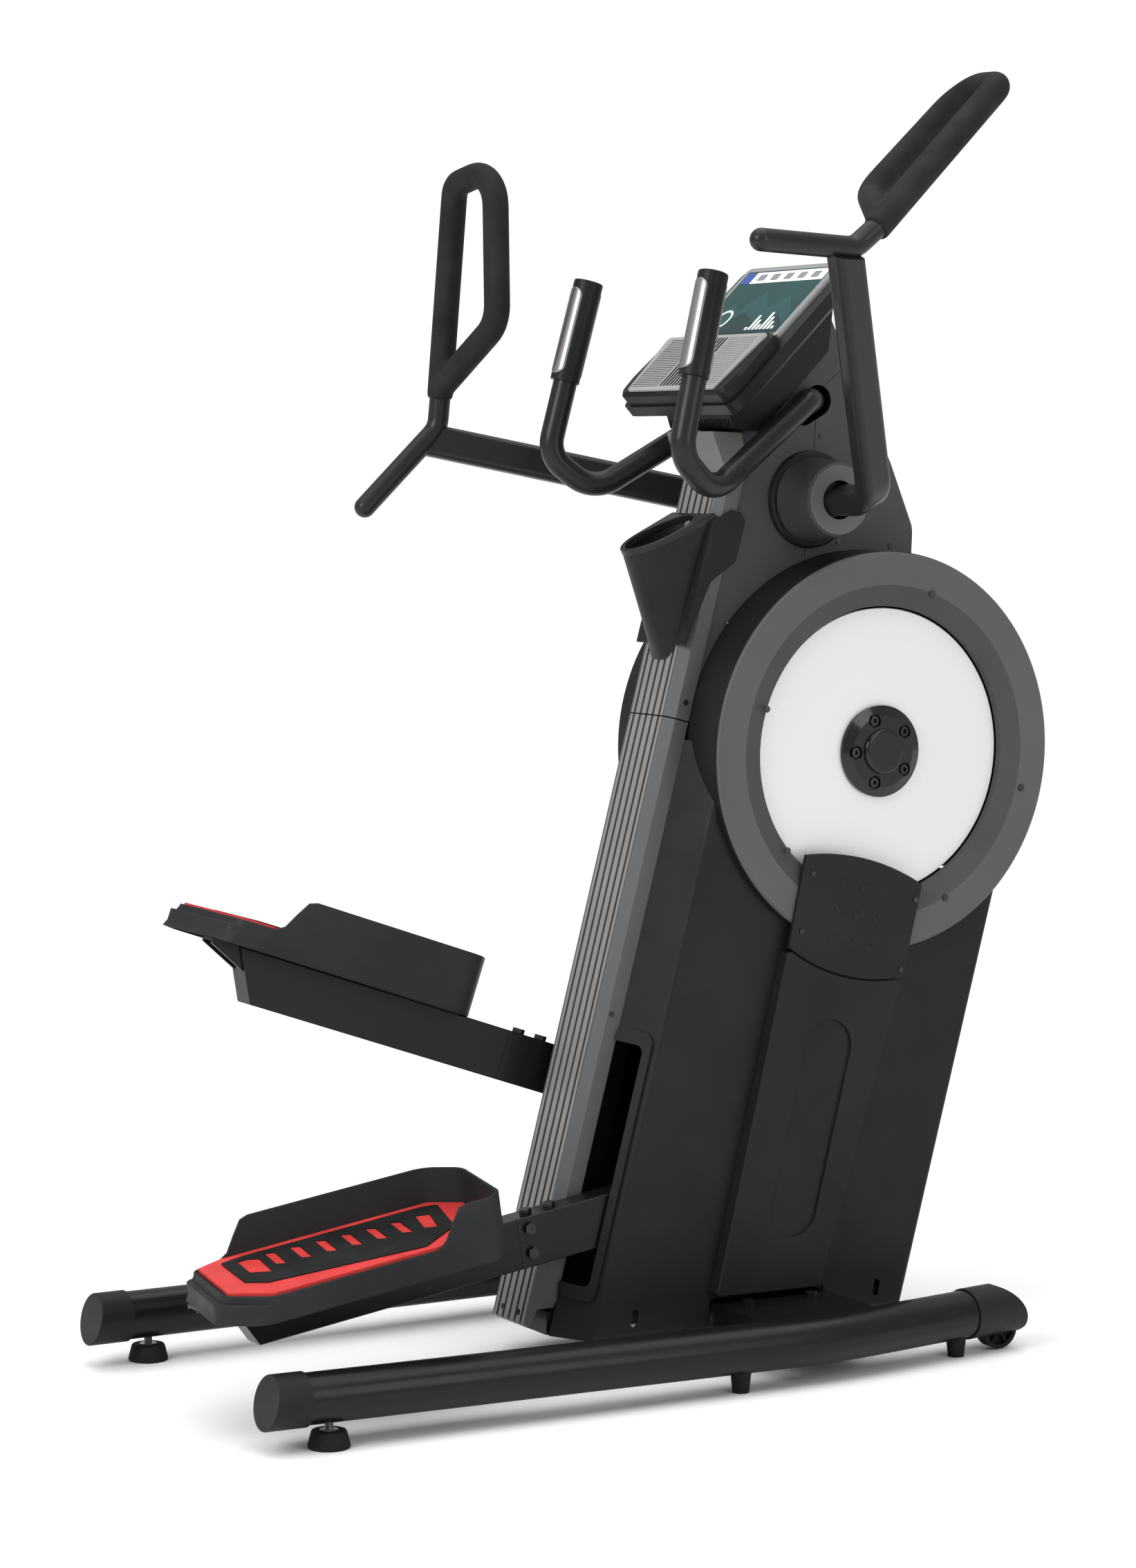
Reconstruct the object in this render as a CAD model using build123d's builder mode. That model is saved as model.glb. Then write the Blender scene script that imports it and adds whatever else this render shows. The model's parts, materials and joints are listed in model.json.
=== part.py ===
"""Vertical climber machine: a rocking pedal and a swinging arm on each side of a leaning body.

Axes: +X is the user's right, +Y is the user's forward, +Z is up. Lengths are millimetres and
angles are degrees. The origin lies on the floor, under the middle of the footprint.
"""

import os
from math import asin, atan2, cos, degrees, hypot, radians, sin

from build123d import *

os.makedirs("parts", exist_ok=True)

SIDES = {"right": 1, "left": -1}
FIT = 0.05  # radial clearance of a running fit
GAP = 0.3  # gap between covers and the pieces beside them
SKIN = 3.0  # wall of the moulded covers

# Base rails, seen as an axis from the rear end through the knee to the front end
RAIL_R = 35.0
RAIL_WALL = 2.5
RAIL_REAR = (290.4, -676.0, 69.8)
RAIL_KNEE = (317.0, 190.0, 60.0)
RAIL_FRONT = (279.0, 470.0, 60.0)
RAIL_BEND = 900.0
STUD_R = 6.0
LEVELLER = (292.7, -602.0)
FIXED_FEET = ((311.5, 38.0), (284.4, 431.0))
WHEEL_AXIS = (512.0, 31.5)
WHEEL_X = 273.0
WHEEL_R = 30.0

# Cross-member and spine under the body
CROSS_Y = (108.0, 300.0)
DECK_Z = (50.0, 84.0)

# Leaning column: its rear face passes through (COLUMN_Y, COLUMN_Z) and leans forward
LEAN = 15.0
COLUMN_Y = -126.0
COLUMN_Z = 66.0
COLUMN_HALF = 60.0
COLUMN_DEPTH = 36.0
COLUMN_SPLIT = 895.0
COLUMN_TOP = 1262.0
GROOVES = 5
GROOVE_PITCH = 17.0

# Crank, rocking pedals and swinging arms, as (Y, Z) of their axes
CRANK = (400.0, 881.0)
PEDAL_PIVOT = (332.0, 190.0)
ARM_PIVOT = (316.0, 1252.5)
FLYWHEEL = (265.0, 560.0)
PEDAL_SWING = 27.6
PEDAL_REST = 8.4
ARM_REST = 118.4
ARM_SWING = 48.5
ROD_LEVER = 150.0
LINK_THROW = 30.0

# Pedal lever in its own frame: f runs forward along the arm from the pivot, n is its normal
LEVER_X = (62.0, 102.0)
ARM_N = (49.0, 123.0)
SEAM_F = -526.0
ARM_END_F = -945.0
TRAY_FLOOR = (123.3, 158.0)
TRAY_RIM = 213.0
TRAY_FLARE = 13.0
TRAY_OUTLINE = (
    (27, -960),
    (27, -625),
    (80, -589),
    (238, -618),
    (262, -645),
    (262, -985),
    (200, -1032),
    (45, -1006),
)

# Round drum covers about the crank axis
RING_R = 296.0
RING_FACE_X = 140.0
RING_FLAT_R = 246.0
RING_LIP = (131.0, 216.0)  # X and radius where the bevel meets the wall round the disc
DRUM_OPEN = (-41.5, 69.5)  # the part of the drum's rim that shows between the covers
DISC_R = 212.0
DISC_X = (117.0, 121.0)
HUB_R = 68.0
FLANGE_X = 112.0
ROD_X = (104.2, 111.2)
WEB_X = (58.0, 70.0)
PIN_R = 10.0
SHAFT_R = 12.5
PLATE_X = (47.0, 53.0)
LINK_X = (32.0, 42.0)
PULLEY_R = 130.0
PINION_R = 22.0
FLYWHEEL_R = 115.0

# Body covers
SHELL_X = 125.0
SHELL_EDGE = 9.0
COVER_X = 146.0
UPPER_X = 57.0

SEAMS = (((324, 1318), (328, 1372)), ((309, 1166), (311, 1186)), ((274, 1370), (389, 1455)))
UPPER_SCREWS = ((337, 1346), (369, 1190), (463, 1182))

# Console slab: its lower rear edge and its tilt
CONSOLE_Y = 110.0
CONSOLE_Z = 1400.0
CONSOLE_TILT = 43.5

# Fixed handlebar, from its tip round the bend into the body
BAR_R = 18.0
BAR_TIP = (173.0, 74.0, 1571.0)
BAR_GRIP = (180.0, 37.0, 1427.0)
BAR_POINTS = (
    BAR_TIP,
    (186.0, 12.0, 1318.0),
    (166.0, 78.0, 1263.0),
    (96.0, 290.0, 1398.0),
    (40.0, 332.0, 1398.0),
)
BAR_RADII = (45.0, 55.0, 35.0)

# Swinging arm in its own frame: x is outward, y runs along the arm, z is its normal
ARM_TUBE = ((116, 0, 0), (228, 0, 0), (434, 420, 0))
T_TUBE = ((433, 468, 123), (411, 384, -20), (409, 391, -66))
T_TUBE_R = 16.0
LOOP = ((408, 394, -80), (364, 461, -378), (258, 456, -400), (260, 399, -176))
LOOP_R = 20.0


# ---- shared outlines ---------------------------------------------------------------------


def side_face(x, points, corner=0.0):
    """Closed outline of (Y, Z) points on the plane at the given X, its corners rounded."""
    with BuildSketch(Plane.YZ.offset(x)) as outline:
        with BuildLine():
            Polyline(*points, close=True)
        make_face()
        if corner:
            fillet(outline.vertices(), corner)
    return outline.sketch


def round_face(x, centre, outer, inner=0.0):
    """Disc or ring about an axis along X through the (Y, Z) centre, on the plane at X."""
    with BuildSketch(Plane.YZ.offset(x)) as disc:
        with Locations(centre):
            Circle(outer)
            if inner:
                Circle(inner, mode=Mode.SUBTRACT)
    return disc.sketch


def bar_face(x, start, end, radius):
    """Straight bar with round ends between two (Y, Z) points, on the plane at X."""
    with BuildSketch(Plane.YZ.offset(x)) as bar:
        with Locations(start, end):
            Circle(radius)
        make_hull()
    return bar.sketch


def lever_plane(x, pitch):
    """Plane at X whose local x runs forward along a pedal arm and local y is its normal."""
    origin = (x, PEDAL_PIVOT[0], PEDAL_PIVOT[1])
    return Plane(origin=origin, x_dir=(0, cos(radians(pitch)), sin(radians(pitch))), z_dir=(1, 0, 0))


def lever_floor(n, pitch):
    """Plane at height n over the pivot: local x is the body's X, local y runs forward."""
    along = Vector(0, cos(radians(pitch)), sin(radians(pitch)))
    up = Vector(0, -sin(radians(pitch)), cos(radians(pitch)))
    return Plane(origin=Vector(0, *PEDAL_PIVOT) + up * n, x_dir=(1, 0, 0), z_dir=up)


def lever_point(x, f, n, pitch):
    """Place a point of a pedal lever's own frame in the body's frame."""
    return lever_plane(x, pitch).from_local_coords((f, n, 0))


def arm_point(hand, angle, x, y, z):
    """Place a point of a swinging arm's own frame in the body's frame."""
    turn = radians(angle)
    ahead = y * cos(turn) - z * sin(turn)
    above = y * sin(turn) + z * cos(turn)
    return Vector(hand * x, ARM_PIVOT[0] + ahead, ARM_PIVOT[1] + above)


def outline_on(plane, points, inset=0.0, corner=0.0):
    """Closed outline of local points on a plane, optionally rounded and drawn in by an inset."""
    with BuildSketch(plane) as outline:
        with BuildLine():
            Polyline(*points, close=True)
        make_face()
        if corner:
            fillet(outline.vertices(), corner)
        if inset:
            offset(amount=-inset)
    return outline.sketch


def tube_wire(points, radius):
    """Run of straight tubes joined by tangent bends."""
    with BuildLine() as line:
        FilletPolyline(*points, radius=radius)
    return line.line


def disc_across(line, radius, inner=0.0):
    """Round section across the start of a line."""
    with BuildSketch(Plane(origin=line @ 0, z_dir=line % 0)) as section:
        Circle(radius)
        if inner:
            Circle(inner, mode=Mode.SUBTRACT)
    return section.sketch


def dead_centres(pivot, centre, lever, half_swing, side):
    """Rod geometry of a lever rocked by a crank between its two dead centres.

    Returns the crank throw, the rod length and the unit vector from the crank to the lever's
    pin. The side is +1 or -1: the side of the line from centre to pivot on which the pin is.
    """
    span = (pivot[0] - centre[0], pivot[1] - centre[1])
    distance = hypot(*span)
    across = lever * cos(radians(half_swing))
    heading = atan2(span[1], span[0]) + side * asin(across / distance)
    length = (distance**2 - across**2) ** 0.5
    return lever * sin(radians(half_swing)), length, (cos(heading), sin(heading))


def on_line(start, direction, distance):
    """Point at a distance along a direction in the (Y, Z) plane."""
    return (start[0] + direction[0] * distance, start[1] + direction[1] * distance)


def column_y(z):
    """Y of the column's forward flange edge at a height."""
    return COLUMN_Y + (z - COLUMN_Z) * sin(radians(LEAN)) / cos(radians(LEAN))


def twin(piece):
    """Left-hand copy of a right-hand piece."""
    with BuildPart() as other:
        mirror(piece.part, about=Plane.YZ)
    return other


def pair(piece):
    """Right-hand piece together with its left-hand copy."""
    with BuildPart() as both:
        add(piece.part)
        mirror(piece.part, about=Plane.YZ)
    return both


pieces = {}


# ---- base --------------------------------------------------------------------------------

rail_line = tube_wire((RAIL_REAR, RAIL_KNEE, RAIL_FRONT), RAIL_BEND)

with BuildPart() as rail_solid:
    sweep(disc_across(rail_line, RAIL_R), path=rail_line)

with BuildPart() as rail:
    add(rail_solid.part)
    sweep(disc_across(rail_line, RAIL_R - RAIL_WALL), path=rail_line, mode=Mode.SUBTRACT)
    with Locations((LEVELLER[0], LEVELLER[1], RAIL_REAR[2] - RAIL_R)):
        Cylinder(STUD_R + FIT, 20, mode=Mode.SUBTRACT)
pieces["base_rails"] = pair(rail)

with BuildPart() as rear_cap:
    with BuildSketch(Plane(origin=rail_line @ 0, z_dir=-(rail_line % 0))):
        Circle(RAIL_R + 2.5)
    extrude(amount=40)
    extrude(rear_cap.faces().sort_by(Axis.Y)[-1], amount=36, dir=rail_line % 0)
    add(rail_solid.part, mode=Mode.SUBTRACT)
    slanted_end = Plane(origin=(290, -693, 70), z_dir=(0, -cos(radians(12)), sin(radians(12))))
    split(bisect_by=slanted_end, keep=Keep.BOTTOM)
    fillet(rear_cap.faces().sort_by(Axis.Y)[0].edges(), 2)
pieces["rear_caps"] = pair(rear_cap)

with BuildPart() as housing:
    front_end = rail_line @ 1
    front_dir = rail_line % 1
    with BuildSketch(Plane(origin=front_end - front_dir * 24, z_dir=front_dir)):
        Circle(RAIL_R + 2.5)
    extrude(amount=104)
    with BuildSketch(Plane.YZ.offset(200)):
        with BuildLine():
            Polyline((543, 20), (530, 12), (430, 12), (430, 110), (492, 110), (501, 97))
            ThreePointArc((501, 97), (536, 72), (549, 33))
            Line((549, 33), (543, 20))
        make_face()
    extrude(amount=150, mode=Mode.INTERSECT)
    add(rail_solid.part, mode=Mode.SUBTRACT)
    extrude(round_face(WHEEL_X - 13, WHEEL_AXIS, WHEEL_R + 3), amount=26, dir=(1, 0, 0), mode=Mode.SUBTRACT)
    extrude(round_face(WHEEL_X - 20, WHEEL_AXIS, 4 + FIT), amount=40, dir=(1, 0, 0), mode=Mode.SUBTRACT)
pieces["wheel_housings"] = pair(housing)

with BuildPart() as wheel:
    extrude(round_face(WHEEL_X - 11, WHEEL_AXIS, WHEEL_R, WHEEL_R - 6), amount=22, dir=(1, 0, 0))
    extrude(round_face(WHEEL_X - 12, WHEEL_AXIS, 9), amount=24, dir=(1, 0, 0))
    extrude(round_face(WHEEL_X - 2, WHEEL_AXIS, WHEEL_R - 5), amount=4, dir=(1, 0, 0))
    for step in range(3):
        spoke_end = (cos(radians(60 * step)) * (WHEEL_R - 3), sin(radians(60 * step)) * (WHEEL_R - 3))
        spoke = bar_face(
            WHEEL_X - 8,
            (WHEEL_AXIS[0] - spoke_end[0], WHEEL_AXIS[1] - spoke_end[1]),
            (WHEEL_AXIS[0] + spoke_end[0], WHEEL_AXIS[1] + spoke_end[1]),
            1.6,
        )
        extrude(spoke, amount=16, dir=(1, 0, 0))
    extrude(round_face(WHEEL_X - 19, WHEEL_AXIS, 4), amount=38, dir=(1, 0, 0))
pieces["transport_wheel_right"] = wheel
pieces["transport_wheel_left"] = twin(wheel)

with BuildPart() as feet:
    for foot_x, foot_y in FIXED_FEET:
        with BuildSketch(Plane.XY.offset(0)):
            with Locations((foot_x, foot_y)):
                Circle(12)
        extrude(amount=36, taper=-6)
    add(rail_solid.part, mode=Mode.SUBTRACT)
pieces["fixed_feet"] = pair(feet)

with BuildPart() as levelling_foot:
    with BuildSketch():
        with Locations(LEVELLER):
            Circle(29)
    extrude(amount=25, taper=14)
    with BuildSketch(Plane.XY.offset(20)):
        with Locations(LEVELLER):
            Circle(STUD_R)
    extrude(amount=52)
pieces["levelling_foot_right"] = levelling_foot
pieces["levelling_foot_left"] = twin(levelling_foot)

with BuildPart() as base_frame:
    with BuildSketch(Plane.XY.offset(DECK_Z[0])):
        with Locations((0, sum(CROSS_Y) / 2)):
            Rectangle(620, CROSS_Y[1] - CROSS_Y[0])
        with Locations((0, 137)):
            Rectangle(2 * 54, 534)
    extrude(amount=DECK_Z[1] - DECK_Z[0])
    add(rail_solid.part, mode=Mode.SUBTRACT)
    mirror(rail_solid.part, about=Plane.YZ, mode=Mode.SUBTRACT)
    for hand in SIDES.values():
        plate = side_face(hand * 41, ((270, 83), (300, 222), (364, 222), (394, 83)), 6)
        extrude(plate, amount=8, dir=(hand, 0, 0))
    extrude(round_face(-60, PEDAL_PIVOT, SHAFT_R), amount=120, dir=(1, 0, 0), mode=Mode.SUBTRACT)
    for hand in SIDES.values():
        with Locations((hand * 165, 145, DECK_Z[1]), (hand * 165, 255, DECK_Z[1])):
            Cylinder(11, 1.6, align=(Align.CENTER, Align.CENTER, Align.MIN))
    for hand in SIDES.values():
        with BuildSketch(Plane.XY.offset(DECK_Z[1] + 1.6)):
            with Locations((hand * 165, 145), (hand * 165, 255)):
                RegularPolygon(9, 6)
        extrude(amount=7)
pieces["base_frame"] = base_frame

with BuildPart() as pivot_axle:
    extrude(round_face(-110, PEDAL_PIVOT, SHAFT_R), amount=220, dir=(1, 0, 0))
    for hand in SIDES.values():
        extrude(round_face(hand * 103.5, PEDAL_PIVOT, 20), amount=5, dir=(hand, 0, 0))
pieces["pivot_axle"] = pivot_axle


# ---- leaning mast and column covers ------------------------------------------------------

# Section plane across the column, at its foot: local x is the body's X, local y is forward
lean_dir = Vector(0, sin(radians(LEAN)), cos(radians(LEAN)))
column_plane = Plane(origin=(0, COLUMN_Y, COLUMN_Z), x_dir=(1, 0, 0), z_dir=lean_dir)


def column_section(length_from):
    """Ribbed channel section, open to the front, at a distance up the column."""
    with BuildSketch(column_plane.offset(length_from)) as section:
        with Locations((0, -COLUMN_DEPTH / 2)):
            Rectangle(2 * COLUMN_HALF, COLUMN_DEPTH)
        chamfer(section.vertices().group_by(Axis.Y)[0], 13)
        fillet(section.vertices().group_by(Axis.Y)[0], 4)
        with Locations((0, -COLUMN_DEPTH / 2 + 5)):
            Rectangle(2 * COLUMN_HALF - 8, COLUMN_DEPTH - 10 + 0.2, mode=Mode.SUBTRACT)
        with GridLocations(GROOVE_PITCH, 1, GROOVES, 1):
            with Locations((0, -COLUMN_DEPTH + 2.4)):
                Rectangle(5.5, 5, mode=Mode.SUBTRACT)
    return section.sketch


with BuildPart() as column_lower:
    extrude(column_section(-24), amount=COLUMN_SPLIT + 22.8)
    foot_trim = Plane(origin=(0, COLUMN_Y - 30, 62), z_dir=(0, -0.6, -0.8))
    split(bisect_by=foot_trim, keep=Keep.BOTTOM)
    split(bisect_by=Plane(origin=(0, 0, 50), z_dir=(0, 0, -1)), keep=Keep.BOTTOM)
    for hand in SIDES.values():
        with BuildSketch(Plane.XZ.offset(200)):
            with BuildLine():
                Polyline((hand * 40, 48), (hand * 62, 48), (hand * 62, 100), (hand * 60, 100), close=True)
            make_face()
        extrude(amount=-200, mode=Mode.SUBTRACT)
    with BuildSketch(column_plane.rotated((90, 0, 0))):
        with Locations((-23, 6), (23, 6)):
            Circle(5)
    extrude(amount=60, both=True, mode=Mode.SUBTRACT)
pieces["column_lower"] = column_lower

with BuildPart() as column_upper:
    extrude(column_section(COLUMN_SPLIT + 0.8), amount=COLUMN_TOP - COLUMN_SPLIT)
pieces["column_upper"] = column_upper

MAST_Y = 22.0  # mast centre ahead of the flange edge, square to the lean
with BuildPart() as mast:
    with BuildSketch(column_plane.offset(10)):
        with Locations((0, MAST_Y)):
            RectangleRounded(70, 50, 8)
    extrude(amount=1225)
    with BuildSketch(column_plane.offset(14)):
        with Locations((0, MAST_Y)):
            RectangleRounded(65, 45, 6)
    extrude(amount=1240, mode=Mode.SUBTRACT)
    split(bisect_by=Plane.XY.offset(DECK_Z[1] + 0.1), keep=Keep.TOP)
    for hand in SIDES.values():
        for centre, reach, height in ((CRANK, 40, 60), (FLYWHEEL, 32, 60)):
            root_y = column_y(centre[1]) + 10
            arm_plate = side_face(
                hand * 35,
                (
                    (root_y - 8, centre[1] - height),
                    (centre[0] + reach, centre[1] - reach),
                    (centre[0] + reach, centre[1] + reach),
                    (root_y + 20, centre[1] + height),
                ),
                6,
            )
            extrude(arm_plate, amount=PLATE_X[1] - 35, dir=(hand, 0, 0))
            pocket = side_face(
                hand * 30,
                (
                    (root_y + 40, centre[1] - 200),
                    (centre[0] + 90, centre[1] - 200),
                    (centre[0] + 90, centre[1] + 200),
                    (root_y + 40 + 80, centre[1] + 200),
                ),
            )
            extrude(pocket, amount=PLATE_X[0] - 30, dir=(hand, 0, 0), mode=Mode.SUBTRACT)
    head = side_face(-16, ((180, 1150), (200, 1250), (300, 1284), (346, 1266), (346, 1236), (300, 1220)), 8)
    extrude(head, amount=32, dir=(1, 0, 0))
    for centre, radius in ((CRANK, 24), (FLYWHEEL, 18), (ARM_PIVOT, 14)):
        extrude(round_face(-60, centre, radius), amount=120, dir=(1, 0, 0), mode=Mode.SUBTRACT)
pieces["mast"] = mast

with BuildPart() as bearings:
    for hand in SIDES.values():
        extrude(round_face(hand * PLATE_X[0], CRANK, 24, SHAFT_R + FIT), amount=9, dir=(hand, 0, 0))
        extrude(round_face(hand * PLATE_X[0], FLYWHEEL, 18, 8.5 + FIT), amount=7, dir=(hand, 0, 0))
pieces["bearings"] = bearings

with BuildPart() as arm_shaft:
    extrude(round_face(-110, ARM_PIVOT, 14), amount=220, dir=(1, 0, 0))
pieces["arm_shaft"] = arm_shaft


# ---- crank, rods, flywheel ---------------------------------------------------------------

throw, rod_length, rod_dir = dead_centres(PEDAL_PIVOT, CRANK, ROD_LEVER, PEDAL_SWING / 2, -1)
link_lever = LINK_THROW / sin(radians(ARM_SWING / 2))
link_throw, link_length, link_dir = dead_centres(ARM_PIVOT, CRANK, link_lever, ARM_SWING / 2, -1)
ECCENTRIC_R = 45.0

crank_pins = {}
link_pins = {}
for name, hand in SIDES.items():
    # The right crank stands towards the pedal lever at rest, the left one half a turn on
    crank_pins[name] = on_line(CRANK, rod_dir, hand * throw)
    link_pins[name] = on_line(CRANK, link_dir, -hand * link_throw)

with BuildPart() as crankshaft:
    extrude(round_face(-WEB_X[1], CRANK, SHAFT_R), amount=2 * WEB_X[1], dir=(1, 0, 0))
    for name, hand in SIDES.items():
        eccentric = round_face(hand * (LINK_X[0] - 1), link_pins[name], ECCENTRIC_R)
        extrude(eccentric, amount=12, dir=(hand, 0, 0))
        extrude(bar_face(hand * WEB_X[0], CRANK, crank_pins[name], 24), amount=12, dir=(hand, 0, 0))
        extrude(round_face(hand * 60, crank_pins[name], PIN_R), amount=FLANGE_X - 58, dir=(hand, 0, 0))
        extrude(round_face(hand * FLANGE_X, CRANK, 62), amount=DISC_X[0] - FLANGE_X, dir=(hand, 0, 0))
pieces["crankshaft"] = crankshaft

with BuildPart() as drive_pulley:
    extrude(round_face(-10, CRANK, PULLEY_R, PULLEY_R - 14), amount=20, dir=(1, 0, 0))
    extrude(round_face(-3, CRANK, PULLEY_R - 10), amount=6, dir=(1, 0, 0))
    extrude(round_face(-14, CRANK, 26), amount=28, dir=(1, 0, 0))
    extrude(round_face(-20, CRANK, SHAFT_R), amount=40, dir=(1, 0, 0), mode=Mode.SUBTRACT)
    with Locations(Plane(origin=(0, CRANK[0], CRANK[1]), z_dir=(1, 0, 0))):
        with PolarLocations(72, 6):
            Cylinder(20, 20, mode=Mode.SUBTRACT)
pieces["drive_pulley"] = drive_pulley

with BuildPart() as crank_disc:
    extrude(round_face(DISC_X[0], CRANK, DISC_R), amount=DISC_X[1] - DISC_X[0], dir=(1, 0, 0))
    chamfer(crank_disc.edges().group_by(Axis.X)[-1], 1)
    with Locations(Plane(origin=(119, CRANK[0], CRANK[1]), z_dir=(1, 0, 0))):
        with PolarLocations(45, 5, start_angle=90):
            Cylinder(4, 10, mode=Mode.SUBTRACT)
pieces["crank_discs"] = pair(crank_disc)

with BuildPart() as hub_cover:
    extrude(round_face(DISC_X[1], CRANK, HUB_R), amount=6, dir=(1, 0, 0))
    extrude(round_face(DISC_X[1] + 6, CRANK, HUB_R), amount=6, dir=(1, 0, 0), taper=68)
    extrude(round_face(DISC_X[1] + 6, CRANK, 34), amount=12, dir=(1, 0, 0))
    fillet(hub_cover.edges().group_by(Axis.X)[-1], 5)
    with Locations(Plane(origin=(135, CRANK[0], CRANK[1]), z_dir=(1, 0, 0))):
        with PolarLocations(48, 5, start_angle=90):
            Cylinder(10.5, 20, mode=Mode.SUBTRACT)
            Cylinder(4, 40, mode=Mode.SUBTRACT)
pieces["hub_covers"] = pair(hub_cover)

with BuildPart() as hub_bolt_set:
    with Locations(Plane(origin=(128.6, CRANK[0], CRANK[1]), z_dir=(1, 0, 0))):
        with PolarLocations(48, 5, start_angle=90):
            Cylinder(7, 7)
    hub_sockets = Plane(origin=(132.2, CRANK[0], CRANK[1]), z_dir=(1, 0, 0))
    with BuildSketch(hub_sockets):
        with PolarLocations(48, 5, start_angle=90):
            RegularPolygon(4, 6)
    extrude(amount=-4, mode=Mode.SUBTRACT)
pieces["hub_bolts"] = pair(hub_bolt_set)

with BuildPart() as flywheel:
    extrude(round_face(14, FLYWHEEL, FLYWHEEL_R, FLYWHEEL_R - 26), amount=28, dir=(1, 0, 0))
    extrude(round_face(22, FLYWHEEL, FLYWHEEL_R - 20), amount=10, dir=(1, 0, 0))
    extrude(round_face(-10, FLYWHEEL, PINION_R), amount=34, dir=(1, 0, 0))
    extrude(round_face(-58, FLYWHEEL, 8.5), amount=116, dir=(1, 0, 0))
pieces["flywheel"] = flywheel

with BuildPart() as drive_belt:
    for grow, mode in ((4.3, Mode.ADD), (GAP, Mode.SUBTRACT)):
        with BuildSketch(Plane.YZ.offset(-8)):
            with Locations(CRANK):
                Circle(PULLEY_R + grow)
            with Locations(FLYWHEEL):
                Circle(PINION_R + grow)
            make_hull()
        extrude(amount=16, mode=mode)
pieces["drive_belt"] = drive_belt

with BuildPart() as brake_unit:
    front_of_mast = 49.0
    bracket = side_face(
        -30,
        (
            (column_y(500) + front_of_mast, 500),
            (column_y(600) + front_of_mast, 600),
            (160, 640),
            (160, 480),
        ),
    )
    extrude(bracket, amount=60, dir=(1, 0, 0))
    magnets = side_face(12, ((108, 470), (108, 640), (170, 660), (170, 450)), 4)
    extrude(magnets, amount=34, dir=(1, 0, 0))
    extrude(round_face(-31, FLYWHEEL, 60), amount=80, dir=(1, 0, 0), mode=Mode.SUBTRACT)
    extrude(round_face(11, FLYWHEEL, FLYWHEEL_R + 3), amount=36, dir=(1, 0, 0), mode=Mode.SUBTRACT)
pieces["brake_unit"] = brake_unit

for name, hand in SIDES.items():
    with BuildPart() as rod:
        foot = on_line(crank_pins[name], rod_dir, rod_length)
        extrude(bar_face(hand * ROD_X[0], crank_pins[name], foot, 13), amount=7, dir=(hand, 0, 0))
        for centre in (crank_pins[name], foot):
            extrude(round_face(hand * ROD_X[0], centre, 20), amount=7, dir=(hand, 0, 0))
            hole = round_face(hand * (ROD_X[0] - 1), centre, PIN_R + FIT)
            extrude(hole, amount=9, dir=(hand, 0, 0), mode=Mode.SUBTRACT)
    pieces[f"rod_{name}"] = rod

    with BuildPart() as arm_link:
        eye = on_line(link_pins[name], link_dir, link_length)
        extrude(bar_face(hand * LINK_X[0], link_pins[name], eye, 11), amount=10, dir=(hand, 0, 0))
        strap = round_face(hand * LINK_X[0], link_pins[name], ECCENTRIC_R + 10)
        extrude(strap, amount=10, dir=(hand, 0, 0))
        extrude(round_face(hand * LINK_X[0], eye, 15), amount=10, dir=(hand, 0, 0))
        for centre, radius in ((link_pins[name], ECCENTRIC_R + FIT), (eye, 8 + FIT)):
            hole = round_face(hand * (LINK_X[0] - 1), centre, radius)
            extrude(hole, amount=12, dir=(hand, 0, 0), mode=Mode.SUBTRACT)
    pieces[f"arm_link_{name}"] = arm_link


# ---- pedals ------------------------------------------------------------------------------

LEVER_OUTLINE = (
    (-526, 49),
    (-526, 123),
    (-200, 123),
    (20, 26),
    (26, -10),
    (-20, -30),
    (-60, -24),
    (-175, 8),
    (-230, 49),
)
SIDE_BOLTS = ((-508, 106), (-508, 70))
TOP_BOLTS = (-500, -461)


def rod_foot(hand):
    """(Y, Z) of the pin on the pedal lever that the rod drives."""
    name = "right" if hand > 0 else "left"
    return on_line(crank_pins[name], rod_dir, rod_length)


def hollow_arm(hand, pitch, outline, width, x0, wall):
    """Box-section arm with a wall, closed on every side that lies inside its outline."""
    with BuildPart() as arm_part:
        plane = lever_plane(hand * x0, pitch)
        extrude(outline_on(plane, outline), amount=width, dir=(hand, 0, 0))
        sides = arm_part.edges().group_by(Axis.X)
        long_edges = [edge for edge in sides[0] + sides[-1] if abs((edge % 0).X) < 0.01]
        chamfer([edge for edge in long_edges if edge.length > 100], 1.5)
        inner = outline_on(lever_plane(hand * (x0 + wall), pitch), outline, wall)
        extrude(inner, amount=width - 2 * wall, dir=(hand, 0, 0), mode=Mode.SUBTRACT)
    return arm_part.part


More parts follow.
